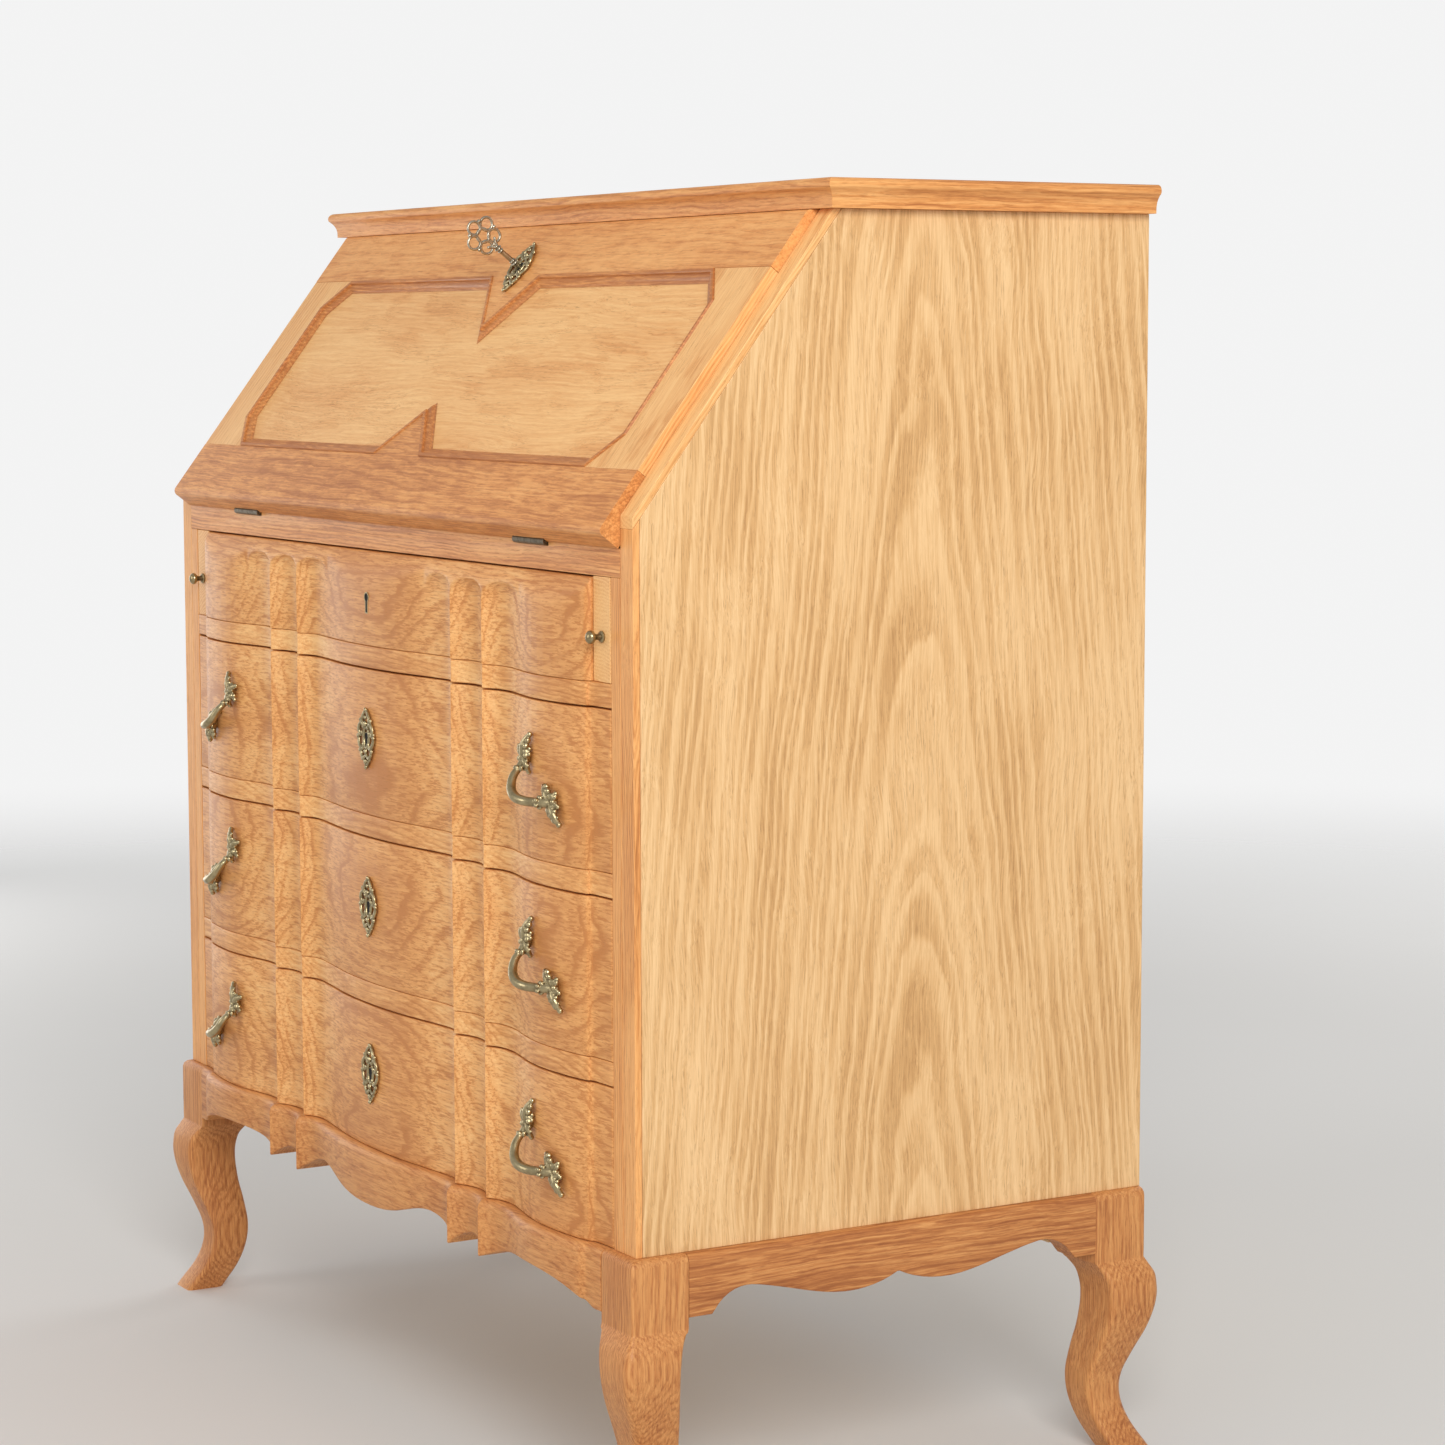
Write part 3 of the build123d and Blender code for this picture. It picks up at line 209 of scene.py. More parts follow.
def oak(
    name, along, across, through, tones=HONEY, centre=0.0, face=0.0, depth=90.0, taper=0.05, ring=6.0,
    band=0.5, wobble=14.0, contrast=0.5, ticks=0.3, streak=0.5, strand=0.75, rough=0.48, varied=0.0,
    figure=0.0, tints=(),
):
    """Solid oak. Growth rings run round a pith parallel to `along`; the board is cut from that log.

    centre and face place the board's middle and face in the log, depth is the pith's distance behind
    the face, taper slopes the rings along the grain, band is the earlywood's share of a ring, strand
    is the number of grain streaks to a millimetre, and varied moves each loose board in the log.
    contrast is how dark the earlywood gets; ticks, streak and figure are the strengths of the short
    dashes, the grain streaks and the curl. tints are (from, to, change) steps outward along x.
    """
    g = Graph(name)
    place = g.add("TexCoord").outputs["Object"]
    per_mm = [tuple(component / MM for component in AXES[axis]) for axis in (along, across, through)]
    island = g.add("NewGeometry").outputs["Random Per Island"]
    shift = g.math("MULTIPLY", g.math("SUBTRACT", island, 0.5), varied)
    a = g.math("ADD", g.dot(place, per_mm[0]), g.math("MULTIPLY", shift, 9.0))
    c = g.math("ADD", g.math("SUBTRACT", g.dot(place, per_mm[1]), centre), shift)
    t = g.math("SUBTRACT", g.dot(place, per_mm[2]), face)
    raw = g.combine(a, c, t)
    # the log sways and ripples
    sway = g.add("SeparateColor", g.noise(raw, (0.0045, 0.011, 0.011), 2.0, 0.45, colour=True))
    ripple = g.add("SeparateColor", g.noise(raw, (0.017, 0.06, 0.06), 3.0, 0.55, colour=True))
    moved = []
    for value, channel in ((c, 0), (t, 1)):
        swayed = g.math("MULTIPLY_ADD", g.math("SUBTRACT", sway.outputs[channel], 0.5), wobble * 2, value)
        moved.append(g.math("MULTIPLY_ADD", g.math("SUBTRACT", ripple.outputs[channel], 0.5), 5.0, swayed))
    # distance from the pith, with wide and narrow years, and the earlywood's part of each ring
    back = g.math("ADD", moved[1], depth)
    squares = g.math("ADD", g.math("MULTIPLY", moved[0], moved[0]), g.math("MULTIPLY", back, back))
    radius = g.math("MULTIPLY_ADD", a, taper, g.math("SQRT", squares))
    years = g.noise(g.combine(radius, 0.0, 0.0), (0.035, 1, 1), 1.0)
    radius = g.math("MULTIPLY_ADD", g.math("SUBTRACT", years, 0.5), ring * 3.2, radius)
    phase = g.math("FRACT", g.math("DIVIDE", radius, ring))
    early = g.math("MULTIPLY", g.ramp(phase, 0.0, 0.16), g.ramp(phase, band + 0.28, band - 0.08))
    # grain streaks, open pores, short ticks and slow clouds
    strands = g.combine(a, moved[0], moved[1])
    grain = g.noise(strands, (0.013 * strand, strand, strand), 3.0, 0.65)
    pores = g.ramp(g.noise(strands, (0.045, 1.9, 1.9), 2.0, 0.6), 0.54, 0.68)
    dash = g.ramp(g.noise(raw, (0.055, 0.60, 0.60), 3.0, 0.62), 0.50, 0.60)
    cloud = g.noise(raw, (0.004, 0.018, 0.018), 2.0)

    tone = g.math("MULTIPLY_ADD", early, g.ramp(cloud, 0.38, 0.62, 0.4 * contrast, contrast), 0.22)
    tone = g.math("MULTIPLY_ADD", g.math("SUBTRACT", grain, 0.5), streak * 2.4, tone)
    tone = g.math("MULTIPLY_ADD", g.math("SUBTRACT", cloud, 0.5), 0.8, tone)
    if figure:
        curl = g.noise(strands, (0.028, 0.075, 0.075), 3.0, 0.65)
        tone = g.math("MULTIPLY_ADD", g.ramp(curl, 0.42, 0.62), figure, tone)
    outward = g.math("ABSOLUTE", g.dot(place, tuple(v / MM for v in AXES["x"])))
    for start, end, change in tints:
        tone = g.math("ADD", tone, g.ramp(outward, start, end, 0.0, change))
    pale_mix = g.ramp(tone, 0.0, 0.62, smooth=False)
    dark_mix = g.ramp(tone, 0.58, 1.25, smooth=False)
    colour = g.blend(dark_mix, g.blend(pale_mix, tones[0], tones[1]), tones[2])
    open_pores = g.math("MULTIPLY", pores, g.math("MULTIPLY_ADD", early, 0.40, 0.16))
    colour = g.blend(open_pores, colour, tuple(PORE_DARKENING * v for v in tones[2]))
    redder = g.math("MULTIPLY", dash, g.ramp(tone, 0.0, 0.9, 0.4 * ticks, ticks))
    colour = g.blend(redder, colour, tones[2])
    g.put(g.shader.inputs["Base Color"], colour)
    g.put(g.shader.inputs["Roughness"], g.math("MULTIPLY_ADD", open_pores, PORE_ROUGHENING, rough))
    g.shader.inputs["Specular IOR Level"].default_value = OAK_SPECULAR
    g.shader.inputs["Coat Weight"].default_value = OAK_COAT
    g.shader.inputs["Coat Roughness"].default_value = OAK_COAT_ROUGHNESS
    relief = g.math("SUBTRACT", 1.0, g.math("MULTIPLY_ADD", early, 0.25, open_pores))
    g.bump(relief, 0.5, 0.00016)
    return g.material


def brass(name, bright, dark, rough):
    """Aged cast brass: rubbed bright on what stands out, dark in the hollows."""
    g = Graph(name)
    place = g.add("TexCoord").outputs["Object"]
    worn = g.ramp(g.add("NewGeometry").outputs["Pointiness"], 0.42, 0.56)
    patch = g.noise(place, (160, 160, 160), 4.0, 0.6)
    mask = g.math("MULTIPLY", worn, g.ramp(patch, 0.25, 0.62, 0.55, 1.0))
    g.put(g.shader.inputs["Base Color"], g.blend(mask, dark, bright))
    g.put(g.shader.inputs["Roughness"], g.ramp(mask, 0.0, 1.0, rough + 0.28, rough))
    g.shader.inputs["Metallic"].default_value = 1.0
    g.bump(g.noise(place, (900, 900, 900), 3.0), 0.35, 0.0002)
    return g.material


side_oak = {
    side: oak(
        f"side_panel_oak_{name}", "z", "y", "x", PALE, centre=centre, face=side * OUTER_X,
        depth=side * 50.0, taper=taper, ring=9.0, band=0.60, wobble=12.0, contrast=0.46, streak=0.75,
        ticks=0.06)
    for side, name, centre, taper in ((1, "right", 36.0, 0.095), (-1, "left", -30.0, 0.085))
}
# the carving reddens in the middle of the front and on its outer lobes
CARVED_TINTS = ((60.0, 125.0, -0.36), (255.0, 330.0, 0.28))
front_oak = {
    name: oak(
        f"{name}_oak", "x", "z", "y", HONEY, centre=node_box(name + "_front")[0][2] + shift, face=FRONT,
        depth=depth, taper=0.014, ring=5.2, band=0.20, wobble=11.0, contrast=0.50, ticks=1.0,
        streak=0.5, strand=0.5, figure=0.16, tints=all_over(0.54) + CARVED_TINTS)
    for name, shift, depth in (
        ("lower_drawer", 22, 240.0), ("middle_drawer", 95, 270.0), ("upper_drawer", 40, 300.0),
        ("top_drawer", 64, 200.0))
}
stile_oak = oak(
    "stile_oak", "z", "x", "y", AMBER, ring=2.4, depth=15.0, centre=90, taper=0.004, wobble=3.0,
    contrast=0.34, streak=0.95, strand=0.42, ticks=0.2, varied=60.0)
rail_oak = oak(
    "rail_oak", "x", "z", "y", AMBER, centre=RAIL_Z0 - 60, face=FRONT, depth=30.0, taper=0.004, ring=3.0,
    wobble=4.0, contrast=0.36, streak=1.3, strand=0.42, ticks=0.4, varied=80.0, tints=all_over(0.26))
blade_oak = oak(
    "blade_oak", "x", "z", "y", HONEY, centre=300, face=FRONT, depth=210.0, taper=0.01, ring=3.4,
    band=0.3, wobble=6.0, contrast=0.34, streak=0.7, strand=0.5, ticks=0.5, varied=150.0, figure=0.25,
    tints=all_over(0.44) + CARVED_TINTS)
lid_rail_oak = oak(
    "lid_rail_oak", "x", "s", "n", AMBER, centre=380, depth=70.0, taper=0.02, ring=4.4, band=0.3,
    wobble=8.0, contrast=0.22, streak=0.6, strand=0.5, ticks=0.42, figure=0.20, varied=40.0)
lid_stile_oak = oak(
    "lid_stile_oak", "s", "x", "n", HONEY, centre=400, depth=120.0, taper=0.01, ring=4.0, wobble=5.0,
    contrast=0.3, streak=0.6, ticks=0.16, varied=50.0)
lid_foot_oak = oak(
    "lid_foot_oak", "x", "s", "n", AMBER, centre=150, depth=90.0, taper=0.02, ring=4.0, band=0.3,
    wobble=8.0, contrast=0.28, streak=0.8, strand=0.5, ticks=0.6, figure=0.24, tints=all_over(0.34))
field_oak = oak(
    "field_oak", "x", "s", "n", HONEY, centre=560, depth=140.0, taper=0.02, ring=6.0, band=0.35,
    wobble=16.0, contrast=0.14, streak=0.6, strand=0.45, ticks=0.22, tints=all_over(0.04))
moulding_oak = oak(
    "moulding_oak", "x", "s", "n", AMBER, centre=100, depth=60.0, ring=3.0, contrast=0.3, streak=0.9,
    strand=0.5, ticks=0.6, tints=all_over(0.72))
top_oak = oak(
    "top_oak", "x", "y", "z", AMBER, centre=60, face=CASE_Z1, depth=160.0, taper=0.02, ring=4.4,
    band=0.35, wobble=12.0, contrast=0.34, streak=0.9, strand=0.45, ticks=0.5, tints=all_over(0.14))
top_side_oak = oak(
    "top_side_oak", "y", "x", "z", AMBER, centre=520, face=CASE_Z1, depth=60.0, taper=0.01, ring=3.4,
    band=0.35, wobble=5.0, contrast=0.34, streak=1.1, strand=0.45, ticks=0.45, tints=all_over(0.14))
apron_oak = oak(
    "apron_oak", "x", "z", "y", RED, centre=150, face=FRONT, depth=230.0, taper=0.012, ring=3.2, band=0.3,
    wobble=8.0, contrast=0.26, ticks=0.5, streak=0.9, strand=0.42, figure=0.2)
side_apron_oak = oak(
    "side_apron_oak", "y", "z", "x", RED, centre=150, depth=-300.0, taper=0.012, ring=2.8, band=0.3,
    wobble=8.0, contrast=0.26, ticks=0.5, streak=1.3, strand=0.40, tints=all_over(0.42))
leg_oak = oak(
    "leg_oak", "z", "x", "y", RED, centre=0, depth=60.0, taper=0.03, ring=2.6, band=0.35, wobble=7.0,
    contrast=0.30, ticks=0.55, streak=0.9, strand=0.5, tints=all_over(0.12))
lipping_oak = oak(
    "lipping_oak", "s", "x", "n", HONEY, centre=300, depth=90.0, ring=3.0, contrast=0.3, streak=0.7,
    ticks=0.12, varied=30.0)
lipping_up_oak = oak(
    "lipping_upright_oak", "z", "x", "y", AMBER, centre=300, depth=90.0, ring=2.4, contrast=0.36,
    streak=1.0, strand=0.42, ticks=0.2, varied=30.0)
inner_oak = oak(
    "inner_oak", "x", "y", "z", PLAIN, face=RAIL_Z1, depth=120.0, ring=7.0, contrast=0.30, streak=0.5,
    ticks=0.12, rough=0.52, varied=200.0)
upright_oak = oak(
    "upright_oak", "z", "y", "x", PLAIN, depth=120.0, ring=6.0, contrast=0.3, streak=0.5, ticks=0.12,
    rough=0.52, varied=200.0)
deep_oak = oak(
    "deep_oak", "y", "x", "z", PLAIN, depth=140.0, ring=7.0, contrast=0.3, streak=0.45, ticks=0.08,
    rough=0.58, varied=300.0)
loper_oak = oak(
    "loper_oak", "y", "x", "z", HONEY, centre=330, depth=500.0, taper=0.01, ring=2.8, contrast=0.34,
    streak=0.5, ticks=0.1, varied=60.0)
small_drawer_oak = oak(
    "small_drawer_oak", "x", "z", "y", HONEY, centre=700, depth=90.0, ring=4.5, band=0.3, contrast=0.3,
    streak=0.5, ticks=0.3, varied=120.0)
cast_brass = brass("cast_brass", (0.60, 0.50, 0.29), (0.085, 0.06, 0.03), 0.24)
turned_brass = brass("turned_brass", (0.42, 0.33, 0.18), (0.10, 0.07, 0.04), 0.28)
plate_brass = brass("plate_brass", (0.50, 0.41, 0.22), (0.20, 0.15, 0.07), 0.36)
key_metal = brass("key_metal", (0.58, 0.53, 0.42), (0.12, 0.09, 0.05), 0.24)
hinge_metal = brass("hinge_metal", (0.19, 0.155, 0.105), (0.07, 0.055, 0.035), 0.45)


def painted_shade_material():
    """Painted shade: a near-black plug stands in for the unlit depth inside a keyhole."""
    g = Graph("keyhole_painted_shade")
    place = g.add("TexCoord").outputs["Object"]
    # faint mottling within the painted shade of the hole
    shade_mottle = g.noise(place, (400, 400, 400))
    g.put(g.shader.inputs["Base Color"], g.blend(shade_mottle, (0.004, 0.003, 0.002), (0.012, 0.009, 0.006)))
    g.shader.inputs["Roughness"].default_value = 0.9
    return g.material


# painted shade for the inside of every keyhole
keyhole_painted_shade = painted_shade_material()


# ---------- mesh helpers
def new_piece(name, mesh, body, material, smooth=30.0):
    """Object from a mesh in the row frame, riding on a body, shaded smooth up to an angle."""
    mesh.shade_smooth()
    mesh.set_sharp_from_angle(angle=radians(smooth))
    mesh.materials.clear()
    mesh.materials.append(material)
    piece = bpy.data.objects.new(name, mesh)
    bpy.context.scene.collection.objects.link(piece)
    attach(piece, body)
    return piece


def bevel(piece, width, segments=3, angle=35.0):
    """Eased arrises, with flat faces kept flat."""
    modifier = piece.modifiers.new("Eased arrises", "BEVEL")
    modifier.width = width * MM
    modifier.segments = segments
    modifier.limit_method = "ANGLE"
    modifier.angle_limit = radians(angle)
    modifier.use_clamp_overlap = True
    modifier.harden_normals = True
    return piece


def to_mesh(bm, name):
    bmesh.ops.recalc_face_normals(bm, faces=bm.faces)
    mesh = bpy.data.meshes.new(name)
    bm.to_mesh(mesh)
    bm.free()
    return mesh


def cad_copy(node):
    """The node's shape as a clean bmesh: joined at its seams, with flat faces in one piece."""
    bm = bmesh.new()
    bm.from_mesh(frame["nodes"][node].data)
    bmesh.ops.remove_doubles(bm, verts=bm.verts, dist=0.01 * MM)
    bmesh.ops.dissolve_limit(bm, angle_limit=radians(0.4), verts=bm.verts, edges=bm.edges)
    return bm


def board(node, material, ease=0.8, segments=3, name=None):
    """Piece that keeps a CAD node's shape, with eased arrises and its own wood."""
    body = frame["nodes"][node]["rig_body"]
    piece = new_piece(name or node + "_wood", to_mesh(cad_copy(node), node), body, material)
    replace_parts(piece, node)
    return bevel(piece, ease, segments)


def skin(bm, loops, closed=False):
    """Faces from loop to loop of vertices, capped at both ends unless closed."""
    count = len(loops[0])
    pairs = list(zip(loops, loops[1:]))
    if closed:
        pairs.append((loops[-1], loops[0]))
    for near, far in pairs:
        for i in range(count):
            j = (i + 1) % count
            bm.faces.new((near[i], near[j], far[j], far[i]))
    if not closed:
        bm.faces.new(loops[0])
        bm.faces.new(loops[-1])


def loft(name, rings, closed=False):
    """Mesh through closed rings of points in millimetres."""
    bm = bmesh.new()
    skin(bm, [[bm.verts.new(Vector(point) * MM) for point in ring] for ring in rings], closed)
    return to_mesh(bm, name)


def circle(centre, side, other, radius, steps):
    """Points round a centre, in the plane of two unit vectors."""
    angles = [2 * pi * k / steps for k in range(steps)]
    return [centre + (side * cos(angle) + other * sin(angle)) * radius for angle in angles]


def turned(name, centre, axis, outline, steps=28):
    """Lathe-turned mesh: outline is (distance along axis, radius) from root to tip."""
    axis = Vector(axis).normalized()
    side = axis.orthogonal().normalized()
    other = axis.cross(side)
    return loft(name, [
        circle(Vector(centre) + axis * along, side, other, radius, steps) for along, radius in outline])


def smooth_path(points, per_span=6):
    """Catmull-Rom curve through rows of numbers (positions with any extra columns)."""
    rows = [np.array(p, float) for p in points]
    rows = [2 * rows[0] - rows[1], *rows, 2 * rows[-1] - rows[-2]]
    path = []
    for p0, p1, p2, p3 in zip(rows, rows[1:], rows[2:], rows[3:]):
        for step in range(per_span):
            u = step / per_span
            path.append(0.5 * (2 * p1 + (p2 - p0) * u + (2 * p0 - 5 * p1 + 4 * p2 - p3) * u**2
                               + (3 * p1 - p0 - 3 * p2 + p3) * u**3))
    path.append(rows[-2])
    return path


# ---------- the serpentine front
def serpentine_profile():
    """Plan outline of the carved front as x and distance out, from the lowest drawer's CAD node."""
    mesh = frame["nodes"]["lower_drawer_front"].data
    floor = node_box("lower_drawer_front")[0][2]
    found = {}
    for vertex in mesh.vertices:
        x, y, z = vertex.co / MM
        if abs(z - floor) < 0.05 and y < FRONT + 0.4:
            found[round(x, 3)] = FRONT - y
    xs = sorted(found)
    return np.array(xs), np.array([found[x] for x in xs])


PROFILE_X, PROFILE_OUT = serpentine_profile()
INNER_RIDGE, OUTER_RIDGE = 157.0, 216.0


def out_at(x):
    """How far the carved front stands out at x."""
    return float(np.interp(x, PROFILE_X, PROFILE_OUT))


def front_columns(half_width, step=2.0):
    """X samples across a front, with its sharp ridges among them."""
    samples = set(np.round(np.arange(-half_width, half_width, step), 3)) | {half_width}
    ridges = {side * ridge for side in (-1, 1) for ridge in (INNER_RIDGE, OUTER_RIDGE)}
    samples = {x for x in samples if all(abs(x - ridge) > 0.6 * step for ridge in ridges)}
    return sorted(samples | {r for r in ridges if abs(r) < half_width})


FRONT_ARRIS = 1.1
# (drop, setback) round an arris of radius 1
EASE = [(1 - sin(radians(a)), 1 - cos(radians(a))) for a in (0, 30, 60, 90)]


def eased_rows(z0, z1, radius, middle=()):
    """(height, setback) rows up a front whose top and bottom arrises are rounded."""
    low = [(z0 + radius * drop, radius * back) for drop, back in reversed(EASE)]
    high = [(z1 - radius * drop, radius * back) for drop, back in EASE]
    return low + [(z, 0.0) for z in middle] + high


def drawer_front(name, half_width, out=lambda x, z: out_at(x), middle=()):
    """Drawer front with its carved face; out gives the face at each x and z."""
    low, high = node_box(name + "_front")
    rows = eased_rows(low[2], high[2], FRONT_ARRIS, middle)
    rings = []
    for x in front_columns(half_width):
        end = max(0.0, 1.0 - (half_width - abs(x)))
        ring = [(x, FRONT - out(x, z) + back + end, z) for z, back in rows]
        ring += [(x, high[1], high[2]), (x, high[1], low[2])]
        rings.append(ring)
    piece = new_piece(name + "_carved_front", loft(name, rings), name, front_oak[name], 40.0)
    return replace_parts(piece, name + "_front")


for drawer in DRAWERS:
    drawer_front(drawer, DRAWER_X)

TOP_FRONT_X = node_box("top_drawer_front")[1][0]
TOP_FRONT_Z = node_box("top_drawer_front")[1][2]
ROLL_H = 38.0  # height of the roll under the top edge
ROLL_ROOT, ROLL_OUT = 0.6, 15.5  # how far the roll stands out at the top edge, and its rise from there
ROLL_BLEND = 8  # sharpness of the crease between roll and carving
ARCH_DROP = 11.0  # from the straight top edge to the crown of the arches
ARCH_RISE = 13.0  # from the crown to the arch's springing
RUN_OUT = 12.0  # height over which a hollow reaches its depth
VALLEYS = ((99.0, INNER_RIDGE), (INNER_RIDGE, OUTER_RIDGE), (OUTER_RIDGE, 276.0))


def top_face(x, z):
    """Face of the top drawer: rolled to a straight top edge, its hollows ending in round arches."""
    below = TOP_FRONT_Z - z
    out = out_at(x)
    for x0, x1 in VALLEYS:
        if x0 < abs(x) < x1:
            u = (2 * abs(x) - x0 - x1) / (x1 - x0)
            arch = ARCH_DROP + ARCH_RISE * (1 - sqrt(1 - u * u))
            depth = min(1.0, max(0.0, (below - arch) / RUN_OUT))
            share = (abs(x) - x0) / (x1 - x0)
            bridge = max(out, out_at(x0) * (1 - share) + out_at(x1) * share)
            out = bridge - (bridge - out) * sqrt(1 - (1 - depth) ** 2)
    rolled = ROLL_ROOT + ROLL_OUT * sin(pi / 2 * min(1.0, below / ROLL_H))
    if below > ROLL_H:
        return out
    return (max(out, 0.3) ** -ROLL_BLEND + rolled**-ROLL_BLEND) ** (-1 / ROLL_BLEND)


ROLL_ROWS = np.arange(TOP_FRONT_Z - 50, TOP_FRONT_Z - 1.4, 1.2)
drawer_front("top_drawer", TOP_FRONT_X, top_face, ROLL_ROWS)

# ---------- base: aprons and legs
POST = 50.0
POST_DROP = 58.0
BASE_R = 6.5  # rounding of the base frame's upper arris
LOW_R = 1.4  # and of its lower one
SIDE_APRON_T = 25.0
APRON_X = POST_X - POST - 0.2
APRON_BACK = node_box("front_apron")[1][1]


def apron_profile(node, axis, keep):
    """Lower edge of an apron as (place along it, height), read off its CAD node."""
    found = {}
    for vertex in frame["nodes"][node].data.vertices:
        point = vertex.co / MM
        if keep(point) and point[2] < CASE_Z0 - 20:
            key = round(point[axis], 2)
            found[key] = min(found.get(key, CASE_Z0), point[2])
    places = sorted(found)
    return np.array(places), np.array([found[p] for p in places])


def apron(name, places, faces, back, lows, to_point, material):
    """Apron lofted along its length; to_point turns (place, depth, height) into the row frame."""
    rings = []
    for place, face, low in zip(places, faces, lows):
        toward = 1 if back > face else -1
        ring = [(face + toward * BASE_R * inward, CASE_Z0 - BASE_R * drop)
                for drop, inward in reversed(EASE)]
        ring += [(face + toward * LOW_R * inward, low + LOW_R * drop) for drop, inward in EASE]
        ring += [(back, low), (back, CASE_Z0)]
        rings.append([to_point(place, depth, z) for depth, z in ring])
    return new_piece(name, loft(name, rings), "case", material, 40.0)


front_low_x, front_low_z = apron_profile("front_apron", 0, lambda p: p[1] > APRON_BACK - 0.5)
columns = front_columns(APRON_X, 2.5)
front_apron = apron(
    "front_apron_carved", columns, [POST_Y - out_at(x) for x in columns], APRON_BACK,
    [float(np.interp(x, front_low_x, front_low_z)) for x in columns], lambda p, d, z: (p, d, z), apron_oak)
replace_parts(front_apron, "front_apron")

side_low, side_high = node_box("side_aprons")
side_low_y, side_low_z = apron_profile("side_aprons", 1, lambda p: p[0] > side_high[0] - 0.5)
for side, name in ((-1, "left"), (1, "right")):
    places = np.linspace(side_low[1], side_high[1], 150)
    lows = [float(np.interp(y, side_low_y, side_low_z)) for y in places]
    piece = apron(
        name + "_side_apron", places, [side * POST_X] * len(places), side * (POST_X - SIDE_APRON_T), lows,
        lambda p, d, z: (d, p, z), side_apron_oak)
    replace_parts(piece, "side_aprons")

# height below the case, outward offset of the outer faces, size, along a cabriole leg
LEG_STATIONS = [
    (-58, 0.0, 50.0), (-64, 3.6, 50.0), (-72, 7.9, 50.0), (-84, 9.7, 49.4), (-96, 9.0, 48.4),
    (-108, 6.6, 47.0), (-120, 3.0, 45.0), (-132, -1.8, 42.6), (-144, -6.4, 40.0), (-156, -10.4, 37.6),
    (-168, -12.2, 35.8), (-180, -11.4, 35.0), (-192, -8.3, 35.0), (-204, -3.2, 35.5), (-215, 3.0, 36.2),
    (-225, 8.5, 36.5),
]
POST_R, KNEE_R, FOOT_R = 2.0, 2.4, 8.0  # rounding of a leg's outer arris
INNER_R, POST_INNER_R = 5.0, 0.6  # and of its other three
KNEE_H = 22.0  # the outer arris swells to its full rounding over this height


def rounded_square(x0, x1, y0, y1, z, radii):
    """Square ring with a radius for each corner, starting at (x0, y0) and going round."""
    corners = ((x0, y0, 1, 1, 180), (x1, y0, -1, 1, 270), (x1, y1, -1, -1, 0), (x0, y1, 1, -1, 90))
    ring = []
    for (x, y, dx, dy, start), radius in zip(corners, radii):
        for step in range(6):
            angle = radians(start + 18 * step)
            ring.append((x + dx * radius + radius * cos(angle), y + dy * radius + radius * sin(angle), z))
    return ring


def leg_ring(side_x, outer_y, side_y, height, out, size, radius, setback):
    """One section of a leg; the post's outer faces are set back near its rounded top."""
    outer_x = side_x * (POST_X + out)
    inner_x = side_x * (POST_X + out - size + setback)
    face_y = outer_y + side_y * out
    inner_y = outer_y + side_y * (out - size + setback)
    if side_y > 0 and setback:
        face_y = outer_y
    x0, x1 = sorted((outer_x, inner_x))
    y0, y1 = sorted((face_y, inner_y))
    radii = [min(radius, INNER_R) if height < -POST_DROP - 3 else POST_INNER_R] * 4
    outer_corner = {(-1, -1): 0, (1, -1): 1, (1, 1): 2, (-1, 1): 3}[(side_x, side_y)]
    radii[outer_corner] = radius
    return rounded_square(x0, x1, y0, y1, CASE_Z0 + height, radii)


def leg(name, side_x, outer_y, side_y):
    """Cabriole leg with its post: softened outer arris, outer edges rounded over at the top."""
    corner = (side_x, outer_y, side_y)
    rows = [(-BASE_R * drop, BASE_R * back, POST_R) for drop, back in reversed(EASE)]
    rows += [(-30.0, 0.0, POST_R), (-52.0, 0.0, POST_R), (-POST_DROP + 1.0, 0.0, KNEE_R)]
    rings = [leg_ring(*corner, height, -back, POST, radius, back) for height, back, radius in rows]
    for height, out, size in smooth_path(LEG_STATIONS, 4):
        share = min(1.0, (-POST_DROP - height) / KNEE_H)
        rings.append(leg_ring(*corner, height, out, size, KNEE_R + (FOOT_R - KNEE_R) * share, 0.0))
    sole = leg_ring(*corner, *LEG_STATIONS[-1], FOOT_R, 0.0)
    rings.append([(x, y, 0.0) for x, y, z in sole])
    piece = new_piece(name + "_cabriole", loft(name, rings), "case", leg_oak, 35.0)
    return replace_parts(piece, name)


leg("front_left_leg", -1, POST_Y, -1)
leg("front_right_leg", 1, POST_Y, -1)
leg("rear_left_leg", -1, BACK, 1)
leg("rear_right_leg", 1, BACK, 1)

# ---------- boards that keep their CAD shape
board("left_side_panel", side_oak[-1], 0.7)
board("right_side_panel", side_oak[1], 0.7)
board("front_stiles", stile_oak, 0.5)
board("writing_rail", rail_oak, 0.5)
board("drawer_blades", blade_oak, 0.9)
board("writing_bed", inner_oak, 0.4)
board("bottom_board", inner_oak, 0.5)
board("back_panel", upright_oak, 0.5)
board("drawer_runners", deep_oak, 0.6)
board("loper_partitions", deep_oak, 0.6)
board("gallery_boards", inner_oak, 1.0)
board("lid_stop_rail", inner_oak, 0.8)
board("rear_base_rail", inner_oak, 1.2)
board("base_corner_blocks", deep_oak, 1.5)
for drawer in (*DRAWERS, "top_drawer"):
    board(drawer + "_box", deep_oak, 1.0)
for side in ("left", "right"):
    board(side + "_small_drawer", small_drawer_oak, 0.8)
    board(side + "_loper", loper_oak, 0.6)
board("lid_stiles", lid_stile_oak, 0.6)
board("lid_panel", field_oak, 0.4)


